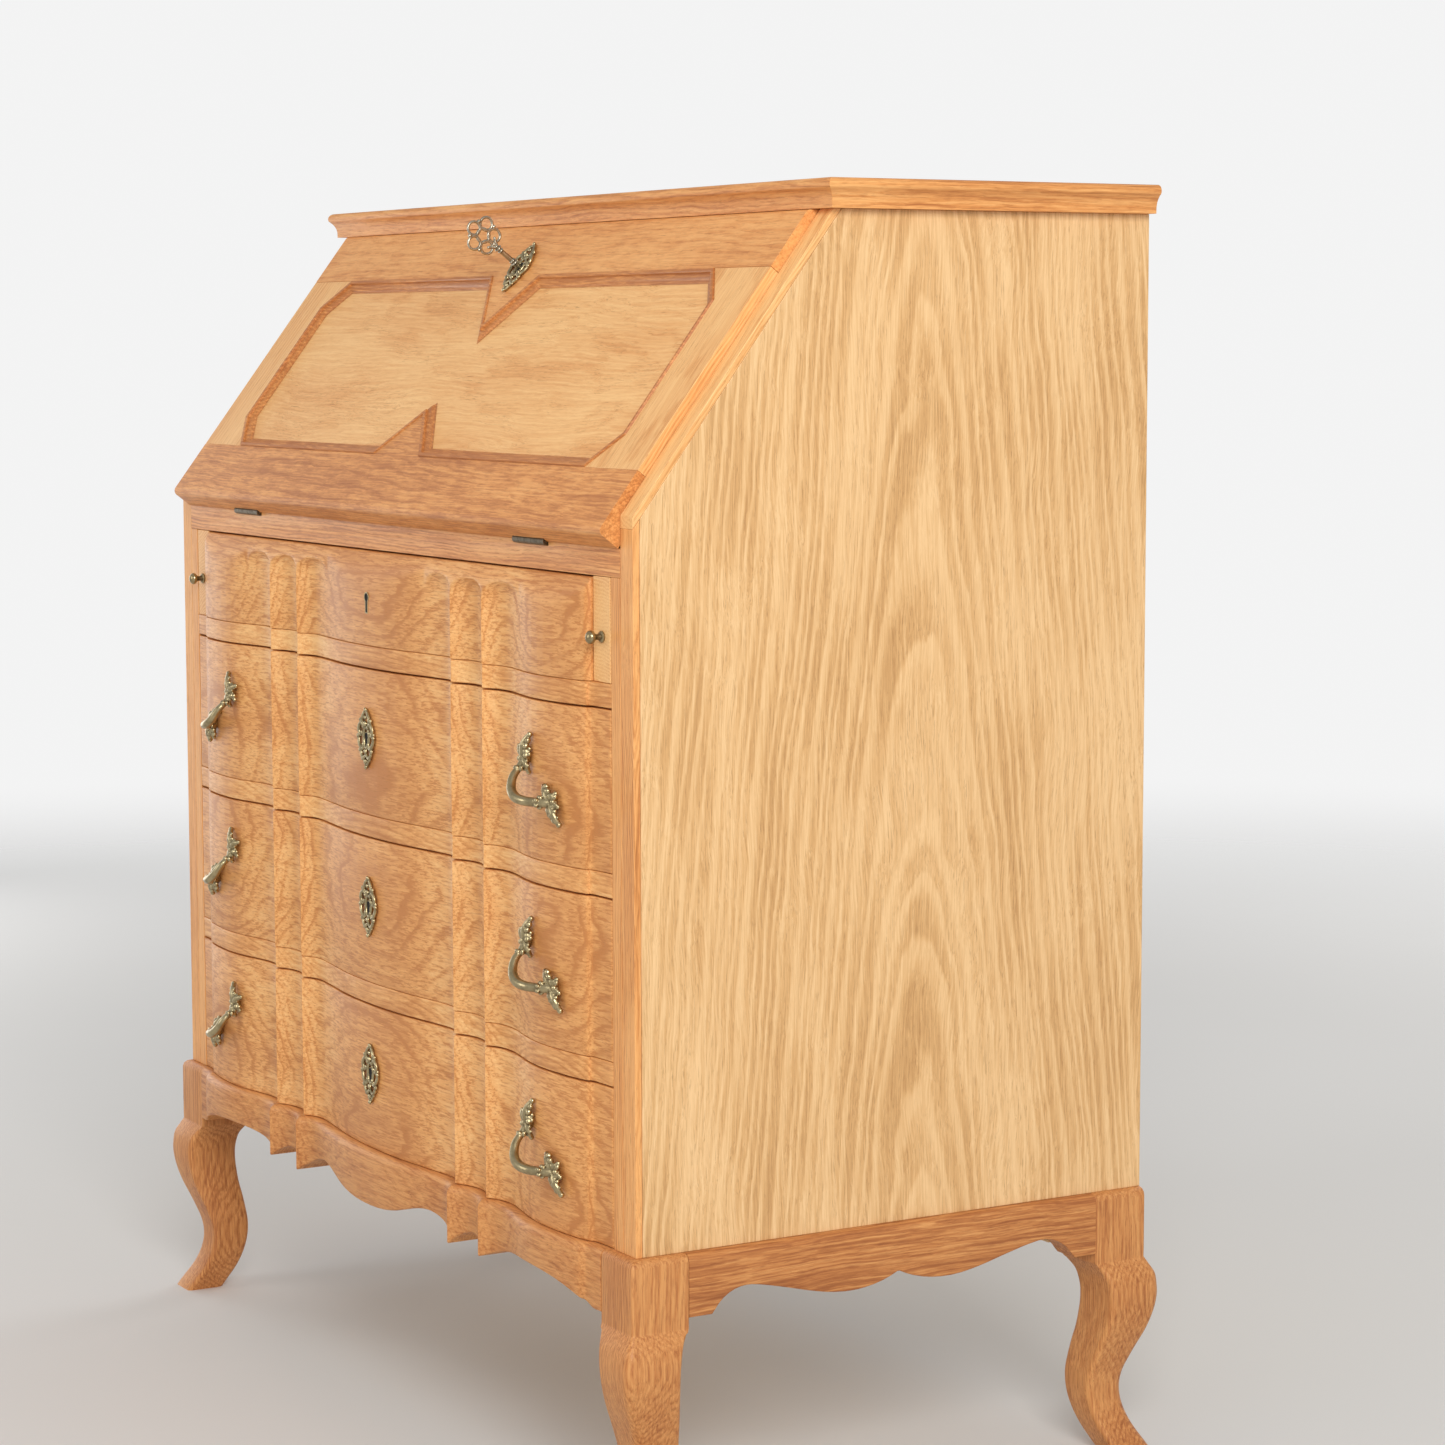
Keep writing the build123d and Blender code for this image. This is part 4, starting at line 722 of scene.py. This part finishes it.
def sliced(node, name, keep, material, ease=0.7):
    """The loose boards of a node whose centres pass keep, as one piece."""
    bm = cad_copy(node)
    remaining = set(bm.verts)
    while remaining:
        island = [remaining.pop()]
        for vertex in island:
            for edge in vertex.link_edges:
                other = edge.other_vert(vertex)
                if other in remaining:
                    remaining.discard(other)
                    island.append(other)
        centre = sum((v.co for v in island), Vector()) / len(island) / MM
        if not keep(centre):
            bmesh.ops.delete(bm, geom=island, context="VERTS")
    piece = new_piece(name, to_mesh(bm, name), frame["nodes"][node]["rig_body"], material)
    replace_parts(piece, node)
    return bevel(piece, ease)


SLOPE_FOOT = node_box("panel_edge_lippings")[0][2] + 555.0  # between the upright and sloping lippings
sliced("panel_edge_lippings", "slope_lippings", lambda c: c.z > SLOPE_FOOT, lipping_oak)
sliced("panel_edge_lippings", "upright_lippings", lambda c: c.z < SLOPE_FOOT, lipping_up_oak)

LID_MIDDLE = sum(corner[2] for corner in node_box("lid_rails")) / 2
sliced("lid_rails", "lid_top_rail", lambda c: c.z > LID_MIDDLE, lid_rail_oak, 0.6)
sliced("lid_rails", "lid_bottom_rail", lambda c: c.z < LID_MIDDLE, lid_foot_oak, 0.6)

# ---------- top board with mitred lippings
LIPPING_W = 36.0
top_low, top_high = node_box("top_board")


def top_piece(name, cuts, material):
    """Part of the top board between cutting planes (point, normal of the side that goes)."""
    bm = cad_copy("top_board")
    for point, normal in cuts:
        geometry = bm.verts[:] + bm.edges[:] + bm.faces[:]
        cut = bmesh.ops.bisect_plane(
            bm, geom=geometry, dist=1e-6, plane_co=Vector(point) * MM, plane_no=Vector(normal),
            clear_outer=True)
        edges = [e for e in cut["geom_cut"] if isinstance(e, bmesh.types.BMEdge)]
        bmesh.ops.edgeloop_fill(bm, edges=edges)
    piece = new_piece(name, to_mesh(bm, name), "case", material)
    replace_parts(piece, "top_board")
    return bevel(piece, 0.25, 2)


side_cuts = {}
for side, name in ((-1, "left"), (1, "right")):
    corner = (side * top_high[0], top_low[1], 0)
    mitre = Vector((-side, -1, 0))
    inner = (side * (top_high[0] - LIPPING_W), 0, 0)
    top_piece(name + "_top_lipping", [(corner, mitre), (inner, (-side, 0, 0))], top_side_oak)
    side_cuts[side] = (corner, -mitre)
front_inner = (0, top_low[1] + LIPPING_W, 0)
top_piece("front_top_lipping", [side_cuts[-1], side_cuts[1], (front_inner, (0, 1, 0))], top_oak)
top_piece("top_board_field", [
    (front_inner, (0, -1, 0)), ((top_high[0] - LIPPING_W, 0, 0), (1, 0, 0)),
    ((-top_high[0] + LIPPING_W, 0, 0), (-1, 0, 0))], top_oak)

# ---------- lid moulding
# corners of the lid's opening: half its width, clipped corners, low and high edge, and the two points
FIELD_X, FIELD_CLIP, FIELD_LOW, FIELD_HIGH = 376.0, 32.0, 57.0, 251.0
POINT_HALF, POINT_TOP, POINT_LOW = 45.0, 198.0, 100.0
FIELD_HALF = [
    (0, POINT_TOP), (POINT_HALF, FIELD_HIGH), (FIELD_X - FIELD_CLIP, FIELD_HIGH),
    (FIELD_X, FIELD_HIGH - FIELD_CLIP), (FIELD_X, FIELD_LOW + FIELD_CLIP),
    (FIELD_X - FIELD_CLIP, FIELD_LOW), (POINT_HALF, FIELD_LOW), (0, POINT_LOW),
]
FIELD = FIELD_HALF + [(-x, s) for x, s in reversed(FIELD_HALF[1:-1])]
# (distance in from the opening's edge, height over the lid's face), low enough to clear the open top
# drawer under the open lid
MOULDING = [
    (0.1, -4.8), (0.1, -0.6), (0.9, 1.1), (3.4, 1.1), (4.3, 0.6), (4.6, -1.2), (5.5, -1.4),
    (7.2, -1.8), (9.0, -2.7), (10.2, -3.9), (10.7, -4.3), (11.6, -4.5), (12.0, -4.8),
]


def inset(outline, distance):
    """Closed outline moved inward, with its corners mitred."""
    moved = []
    count = len(outline)
    for i in range(count):
        before, here, after = (Vector(outline[(i + k) % count]) for k in (-1, 0, 1))
        d0, d1 = (here - before).normalized(), (after - here).normalized()
        n0, n1 = Vector((d0.y, -d0.x)), Vector((d1.y, -d1.x))
        mitre = (n0 + n1) / (1 + n0.dot(n1))
        moved.append(here + mitre * distance)
    return moved


outlines = [(inset(FIELD, distance), LID_T + height) for distance, height in MOULDING]
rings = [[lid_point(*outline[k], height) for outline, height in outlines] for k in range(len(FIELD))]
moulding = new_piece(
    "lid_field_moulding", loft("moulding", rings, closed=True), "lid", moulding_oak, 25.0)
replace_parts(moulding, "lid_moulding")

# ---------- cast brass
def tube(bm, points, per_span=5, steps=10):
    """Tapered round strand through (x, y, z, radius) points, with rounded ends."""
    path = smooth_path(points, per_span)
    loops = []
    side = None
    for i, row in enumerate(path):
        ahead = Vector(path[min(i + 1, len(path) - 1)][:3] - path[max(i - 1, 0)][:3])
        unit = ahead.normalized()
        side = (side - unit * side.dot(unit) if loops else ahead.orthogonal()).normalized()
        ring = circle(Vector(row[:3]), side, unit.cross(side), row[3], steps)
        loops.append([bm.verts.new(point) for point in ring])
    skin(bm, loops)
    for row in (path[0], path[-1]):
        ball(bm, row[:3], row[3])


def ball(bm, centre, radius, squash=(1, 1, 1)):
    matrix = Matrix.Translation(Vector(centre)) @ Matrix.Diagonal((*(radius * s for s in squash), 1))
    bmesh.ops.create_icosphere(bm, subdivisions=2, radius=1.0, matrix=matrix)


def cast(name, bm, voxel, keep):
    """Overlapping strands and lumps melted into one cast skin, still in millimetres."""
    mesh = to_mesh(bm, name)
    temporary = bpy.data.objects.new(name, mesh)
    bpy.context.scene.collection.objects.link(temporary)
    remesh = temporary.modifiers.new("Melt", "REMESH")
    remesh.mode = "VOXEL"
    remesh.voxel_size = voxel
    smooth = temporary.modifiers.new("Soften", "SMOOTH")
    smooth.factor = 0.5
    smooth.iterations = 2
    decimate = temporary.modifiers.new("Thin", "DECIMATE")
    decimate.ratio = keep
    graph = bpy.context.evaluated_depsgraph_get()
    made = bpy.data.meshes.new_from_object(temporary.evaluated_get(graph))
    bpy.data.objects.remove(temporary)
    bpy.data.meshes.remove(mesh)
    return made


def on_front(y, z, x=0.0, side=1):
    """Frame of something on the desk's front: x across (mirrored if side is -1), y up, z out."""
    return Matrix(((side, 0, 0, x), (0, 0, -1, y), (0, 1, 0, z), (0, 0, 0, 1)))


def placed(mesh, name, matrix, body, material):
    """A copy of a cast mesh, in the row frame."""
    copy = mesh.copy()
    copy.transform(Matrix.Scale(MM, 4) @ matrix)
    if matrix.determinant() < 0:
        copy.flip_normals()
    return new_piece(name, copy, body, material, 180.0)


def leaf(bm, centre, angle, length, root, rise, curl=0.0, tip=1.6):
    """Finger of leaf from a rose's centre at an angle in its plane, with lobes along its edges."""
    points = []
    for k in range(5):
        u = k / 4
        bend = radians(angle + curl * u * u)
        x, y = centre[0] + cos(bend) * length * u, centre[1] + sin(bend) * length * u
        points.append((x, y, centre[2] + rise * sin(pi * u) - 1.0 * u, root * (1 - u) + tip * u))
    tube(bm, points)
    ball(bm, points[-1][:3], tip * 1.15)
    for k in (1, 2, 3):
        x, y, z, radius = points[k]
        bend = radians(angle + curl * (k / 4) ** 2)
        for side in (-1, 1):
            lobe = (x - sin(bend) * side * radius, y + cos(bend) * side * radius, z - 0.6)
            ball(bm, lobe, radius * (0.78 - 0.1 * k * side))


def rose(bm, centre, leaves):
    """Rosette: ring of petals round a hollow with a bead in it, and its leaves."""
    x, y, z = centre
    ball(bm, (x, y, z - 0.8), 6.4, (1, 1, 0.6))
    for k in range(6):
        angle = 2 * pi * k / 6 + 0.3
        ball(bm, (x + 5.3 * cos(angle), y + 5.3 * sin(angle), z + 1.8), 2.7, (1, 1, 0.95))
    ball(bm, (x, y, z + 2.9), 2.6)
    for settings in leaves:
        leaf(bm, centre, *settings)


PULL_X, PULL_DX, PULL_DZ = 324.0, 23.0, 16.5
PULL_FACE = FRONT - 12.9  # where the carved front carries the pulls


def pull_mesh():
    """Cast pull in its own plane: x outward, y up, z out of the drawer."""
    bm = bmesh.new()
    upper = (-PULL_DX, PULL_DZ - 1.0, 2.8)
    lower = (PULL_DX - 1.0, -PULL_DZ, 2.6)
    rose(bm, upper, [
        (84, 19.5, 4.0, 2.6, -14, 2.1), (126, 13.5, 3.3, 2.4, 18, 1.9), (-38, 12.5, 3.3, 2.6, -30, 1.9),
        (205, 9.0, 3.0, 1.4, 10, 1.8), (28, 9.0, 2.9, 1.4, 20, 1.8)])
    rose(bm, lower, [
        (118, 18.5, 3.9, 3.4, 22, 2.2), (-48, 19.0, 4.0, 2.8, -10, 2.2), (-102, 13.0, 3.4, 2.2, 14, 1.9),
        (68, 9.5, 3.0, 1.6, -10, 1.8), (10, 9.0, 3.0, 1.6, -24, 1.8)])
    tube(bm, [
        (upper[0], upper[1] - 2, 3.0, 3.8), (upper[0] + 0.5, upper[1] - 8, 8.0, 3.0),
        (-20.5, 0.5, 14.8, 3.4), (-15.5, -8.0, 18.8, 3.9), (-6.0, -13.5, 20.2, 4.1),
        (5.0, -15.5, 18.0, 3.9), (13.0, -16.0, 12.6, 3.7), (18.5, -16.2, 7.5, 3.9),
        (lower[0], lower[1], 3.0, 3.8)], 6, 14)
    # acanthus collars where the bail meets the roses
    for k in range(6):
        across, along = cos(2 * pi * k / 6), sin(2 * pi * k / 6)
        ball(bm, (15.5, -16.1 + 3.9 * across, 10.0 + 3.9 * along), 2.0, (1.7, 1, 1))
        ball(bm, (upper[0] + 0.4 + 3.3 * across, upper[1] - 8.5, 8.0 + 3.3 * along), 1.7, (1, 1.5, 1))
    return cast("pull", bm, 0.42, 0.42)


pull_shape = pull_mesh()
for drawer in DRAWERS:
    low, high = node_box(drawer + "_pulls")
    for side, name in ((-1, "left"), (1, "right")):
        matrix = on_front(PULL_FACE, (low[2] + high[2]) / 2, side * PULL_X, side)
        piece = placed(pull_shape, f"{drawer}_{name}_pull", matrix, drawer, cast_brass)
        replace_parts(piece, drawer + "_pulls")


def keyhole_outline(radius, slot_half, drop, steps=14):
    """Round head with a slot below it, as points in the plate's plane."""
    start = atan(slot_half / sqrt(radius**2 - slot_half**2))
    points = []
    for k in range(steps + 1):
        angle = -pi / 2 + start + (2 * pi - 2 * start) * k / steps
        points.append((radius * cos(angle), radius * sin(angle)))
    return points + [(-slot_half, -drop), (slot_half, -drop)]


def escutcheon_mesh():
    """Openwork keyhole plate: a ring round the hole in a frame of leaf scrolls."""
    bm = bmesh.new()
    ring = [(5.6 * cos(a), 0.4 + 9.0 * sin(a), 1.5, 1.5) for a in np.linspace(-pi / 2, 1.5 * pi, 17)]
    tube(bm, ring, 3)
    for side in (-1, 1):
        scrolls = (
            [(0, 24.5, 1.2, 1.5), (5.0, 20.0, 2.2, 1.6), (7.5, 14.0, 2.2, 1.8), (4.6, 9.6, 1.8, 1.6)],
            [(4.2, 12.5, 1.6, 1.4), (10.5, 12.0, 2.4, 1.9), (13.8, 6.5, 2.4, 1.8), (11.0, 2.0, 2.0, 1.5),
             (7.6, 4.4, 1.6, 1.2)],
            [(12.6, 7.5, 1.6, 1.3), (15.2, 0.5, 1.8, 1.6), (12.6, -6.5, 2.2, 1.8), (7.0, -9.5, 2.0, 1.6),
             (5.0, -5.4, 1.8, 1.3)],
            [(9.0, -8.0, 1.4, 1.4), (9.8, -13.5, 2.0, 1.7), (5.6, -17.5, 2.2, 1.7), (0.8, -15.0, 2.0, 1.4)],
            [(6.4, -16.0, 1.2, 1.3), (3.6, -21.0, 1.8, 1.4), (0, -24.8, 1.2, 1.3)],
        )
        for scroll in scrolls:
            tube(bm, [(side * x, y, z, r) for x, y, z, r in scroll])
        for x, y, radius in (
            (7.5, 4.4, 2.0), (4.9, -5.6, 1.9), (4.6, 9.6, 1.9), (15.4, 1.0, 2.1), (10.0, 15.4, 2.0),
            (11.8, -11.0, 2.0), (3.6, 21.6, 1.7), (7.4, -18.4, 1.6),
        ):
            ball(bm, (side * x, y, 2.4), radius, (1, 1, 0.8))
    for y, radius in ((12.4, 2.6), (18.0, 2.0), (24.8, 1.9), (-11.5, 2.4), (-25.2, 2.1), (-20.0, 1.9)):
        ball(bm, (0, y, 2.6), radius, (1, 1, 0.85))
    return cast("escutcheon", bm, 0.36, 0.45)


KEYHOLE_UP = 1.5  # of a plate's keyhole over its middle
HOLE_SUNK = 0.2


def keyhole(name, matrix, body, radius=3.4, slot_half=2.3, drop=8.6, rim=0.5, proud=2.0):
    """Brass-rimmed keyhole: a liner standing just proud, with a near-black plug inside it as painted shade
    for the hole's depth.
    """
    outer = keyhole_outline(radius + rim, slot_half + rim, drop + rim)
    inner = keyhole_outline(radius, slot_half, drop)
    rings = []
    for points, depth in ((outer, -1.0), (outer, proud), (inner, proud), (inner, -1.0)):
        rings.append([(matrix @ Vector((x, y, depth))) for x, y in points])
    columns = [[ring[k] for ring in rings] for k in range(len(outer))]
    liner = new_piece(name + "_liner", loft(name, columns, closed=True), body, plate_brass)
    # near-black plug just under the liner's top: painted shade for the unlit depth of the hole
    floor = [[(matrix @ Vector((x, y, depth))) for x, y in inner] for depth in (-0.8, proud - HOLE_SUNK)]
    hole = new_piece(name + "_hole", loft(name + "_hole", floor), body, keyhole_painted_shade)
    return liner, hole


plate_shape = escutcheon_mesh()
CENTRE_FACE = FRONT - out_at(0)
PLATE_SUNK = 0.2
for drawer in DRAWERS:
    low, high = node_box(drawer + "_escutcheon")
    matrix = on_front(CENTRE_FACE + PLATE_SUNK, (low[2] + high[2]) / 2)
    plate = placed(plate_shape, drawer + "_keyhole_plate", matrix, drawer, cast_brass)
    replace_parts(plate, drawer + "_escutcheon")
    keyhole(drawer + "_keyhole", matrix @ Matrix.Translation((0, KEYHOLE_UP, 0)), drawer)
TOP_KEY_Z = CASE_Z0 + 481.0
keyhole("top_drawer_keyhole", on_front(CENTRE_FACE, TOP_KEY_Z), "top_drawer", 3.6, 1.7, 13.0, 0.9, 0.35)

# ---------- lid keyhole plate and key
KEY_S = 258.0
lid_origin = lid_point(0, KEY_S, LID_T)
lid_matrix = Matrix((
    (1, UP_SLOPE.x, OFF_LID.x, lid_origin.x), (0, UP_SLOPE.y, OFF_LID.y, lid_origin.y),
    (0, UP_SLOPE.z, OFF_LID.z, lid_origin.z), (0, 0, 0, 1)))
lid_plate = placed(plate_shape, "lid_keyhole_plate", lid_matrix, "lid", cast_brass)
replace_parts(lid_plate, "lid_escutcheon")
keyhole("lid_keyhole", lid_matrix @ Matrix.Translation((0, KEYHOLE_UP, 0)), "lid")

BOW_OUT = 46.0  # middle of the bow from the lid's face


def key_mesh():
    """Key in the lid's plane: x across, y up the slope, z out; the bow stands in the y-z plane."""
    bm = bmesh.new()
    tube(bm, [(0, 0, -18, 2.2), (0, 0, 0, 2.2), (0, 0, 16, 2.2), (0, 0, 30, 2.0)], 3, 14)
    for z, radius in ((8.5, 3.9), (11.0, 3.3), (25.0, 3.0), (28.0, 3.6), (31.0, 2.9)):
        ball(bm, (0, 0, z), radius, (1, 1, 0.42))
    # openwork bow: a middle ring with five more round it
    loops = [(0, 0, 6.0)]
    loops += [(10.6 * cos(radians(a)), 10.6 * sin(radians(a)), 5.7) for a in (20, 92, 164, 236, 308)]
    for y, z, radius in loops:
        turn = np.linspace(0, 2 * pi, 13)
        tube(bm, [(0, y + radius * cos(a), BOW_OUT + z + radius * sin(a), 1.25) for a in turn], 3)
    for a in (56, 128, 200, 272, 344):
        ball(bm, (0, 12.8 * cos(radians(a)), BOW_OUT + 12.8 * sin(radians(a))), 1.8)
    tube(bm, [(0, 0, 30, 2.2), (0, -2.6, 33, 1.5), (0, -5.0, 36, 1.3)])
    tube(bm, [(0, 0, 30, 2.2), (0, 2.6, 33, 1.5), (0, 5.0, 36, 1.3)])
    # bit, inside the lock
    for z in (-18.2, -16.8, -15.4):
        tube(bm, [(0, 0, z, 1.1), (0, -4.5, z, 1.1), (0, -8.2, z, 1.1)], 3)
    return cast("key", bm, 0.34, 0.45)


key_piece = placed(key_mesh(), "key_with_openwork_bow", lid_matrix, "key", key_metal)
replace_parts(key_piece, "lid_key")

# ---------- turned knobs
# (distance out, radius)
KNOB = [
    (0, 0.3), (0, 4.5), (1.0, 4.7), (1.7, 4.2), (2.4, 2.6), (4.2, 2.2), (6.2, 2.5), (7.6, 3.9),
    (8.8, 5.1), (10.2, 5.4), (11.8, 4.9), (13.2, 3.5), (14.0, 1.8), (14.3, 0.2),
]


def knob(node):
    low, high = node_box(node)
    centre = ((low[0] + high[0]) / 2, high[1], (low[2] + high[2]) / 2)
    reach = (high[1] - low[1]) / KNOB[-1][0]
    mesh = turned(node, centre, (0, -1, 0), [(along * reach, radius) for along, radius in KNOB])
    body = frame["nodes"][node]["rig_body"]
    piece = new_piece(node + "_turned", mesh, body, turned_brass, 40.0)
    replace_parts(piece, node)


for side in ("left", "right"):
    knob(side + "_loper_knob")
    knob(side + "_small_drawer_knob")

# ---------- hardware that keeps its CAD shape
for node, material, slot_name in (
    ("hinge_case_leaves", hinge_metal, "antique_brass"), ("lid_hinge_leaves", hinge_metal, "antique_brass"),
    ("lid_strike_plate", plate_brass, "antique_brass"), ("lid_lock", plate_brass, "lock_brass"),
    ("lid_bolt", key_metal, "dark_steel"), ("lower_drawer_lock", plate_brass, "lock_brass"),
    ("middle_drawer_lock", plate_brass, "lock_brass"), ("upper_drawer_lock", plate_brass, "lock_brass"),
    ("top_drawer_lock", plate_brass, "lock_brass"),
):
    board(node, material, 0.25, 2, node + "_metal")

# ---------- floor, light and camera
FLOOR_SOLID, FLOOR_EDGE = 1.9, 4.6  # metres from the desk where the floor begins and ends its fade


def floor_material():
    """Pale floor that fades into the backdrop away from the desk."""
    g = Graph("floor")
    place = g.add("TexCoord").outputs["Object"]
    cloud = g.noise(place, (0.9, 0.9, 0.9), 4.0)
    g.put(g.shader.inputs["Base Color"], g.blend(cloud, (0.66, 0.655, 0.645), (0.71, 0.705, 0.695)))
    away = g.add("VectorMath", place, operation="LENGTH").outputs["Value"]
    g.put(g.shader.inputs["Alpha"], g.ramp(away, FLOOR_SOLID, FLOOR_EDGE, 1.0, 0.0))
    g.shader.inputs["Roughness"].default_value = 0.7
    return g.material


bm = bmesh.new()
bmesh.ops.create_circle(bm, cap_ends=True, segments=96, radius=FLOOR_EDGE)
floor = bpy.data.objects.new("floor", to_mesh(bm, "floor"))
floor.data.materials.append(floor_material())
bpy.context.scene.collection.objects.link(floor)
floor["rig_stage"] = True

AMBIENT, AMBIENT_STRENGTH = (1.0, 0.99, 0.975, 1), 0.52
BACKDROP = (0.90, 0.90, 0.90, 1)
# the backdrop seen behind the desk is paler than the light that reaches it
world = bpy.data.worlds.new("studio")
world.use_nodes = True
world_nodes = world.node_tree.nodes
ambient = world_nodes["Background"]
ambient.inputs[0].default_value = AMBIENT
ambient.inputs[1].default_value = AMBIENT_STRENGTH
backdrop = world_nodes.new("ShaderNodeBackground")
backdrop.inputs[0].default_value = BACKDROP
seen = world_nodes.new("ShaderNodeMixShader")
world.node_tree.links.new(world_nodes.new("ShaderNodeLightPath").outputs["Is Camera Ray"], seen.inputs[0])
world.node_tree.links.new(ambient.outputs[0], seen.inputs[1])
world.node_tree.links.new(backdrop.outputs[0], seen.inputs[2])
world.node_tree.links.new(seen.outputs[0], world_nodes["World Output"].inputs[0])
bpy.context.scene.world = world
bpy.context.scene.view_settings.view_transform = "Standard"


def softbox(name, place, target, size, power, colour=(1, 1, 1)):
    data = bpy.data.lights.new(name, "AREA")
    data.shape = "RECTANGLE"
    data.size, data.size_y = size
    data.energy = power
    data.color = colour
    light = bpy.data.objects.new(name, data)
    light.location = place
    light.rotation_mode = "QUATERNION"
    light.rotation_quaternion = (Vector(target) - Vector(place)).to_track_quat("-Z", "Y")
    bpy.context.scene.collection.objects.link(light)


softbox("key_light", (3.2, -1.3, 2.2), (0.1, 0, 0.6), (1.5, 1.5), 84, (1.0, 0.99, 0.97))
softbox("front_light", (-0.6, -3.4, 1.5), (0, 0, 0.6), (1.4, 1.4), 18, (1.0, 0.99, 0.98))
softbox("left_light", (-3.0, -0.5, 0.8), (0, 0, 0.6), (1.6, 1.6), 16)
softbox("back_light", (-1.4, 3.2, 1.9), (0, 0, 0.6), (1.6, 1.6), 26)

AZIMUTH, ELEVATION, ROLL = radians(59.91), radians(6.02), radians(-0.115)
CAMERA_PLACE = Vector((2.8378, -1.5441 + (FRONT + BACK) / 2 * MM, 0.9248))
FOCAL_OVER_WIDTH = 3630.2 / 1445
SENSOR_WIDTH = 36.0
camera_data = bpy.data.cameras.new("camera")
camera_data.sensor_width = SENSOR_WIDTH
camera_data.lens = SENSOR_WIDTH * FOCAL_OVER_WIDTH
camera = bpy.data.objects.new("camera", camera_data)
toward_camera = Vector((sin(AZIMUTH) * cos(ELEVATION), -cos(AZIMUTH) * cos(ELEVATION), sin(ELEVATION)))
camera.location = CAMERA_PLACE
camera.rotation_mode = "QUATERNION"
level = (-toward_camera).to_track_quat("-Z", "Y")
camera.rotation_quaternion = level @ Matrix.Rotation(ROLL, 3, "Z").to_quaternion()
bpy.context.scene.collection.objects.link(camera)
bpy.context.scene.camera = camera

low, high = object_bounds()
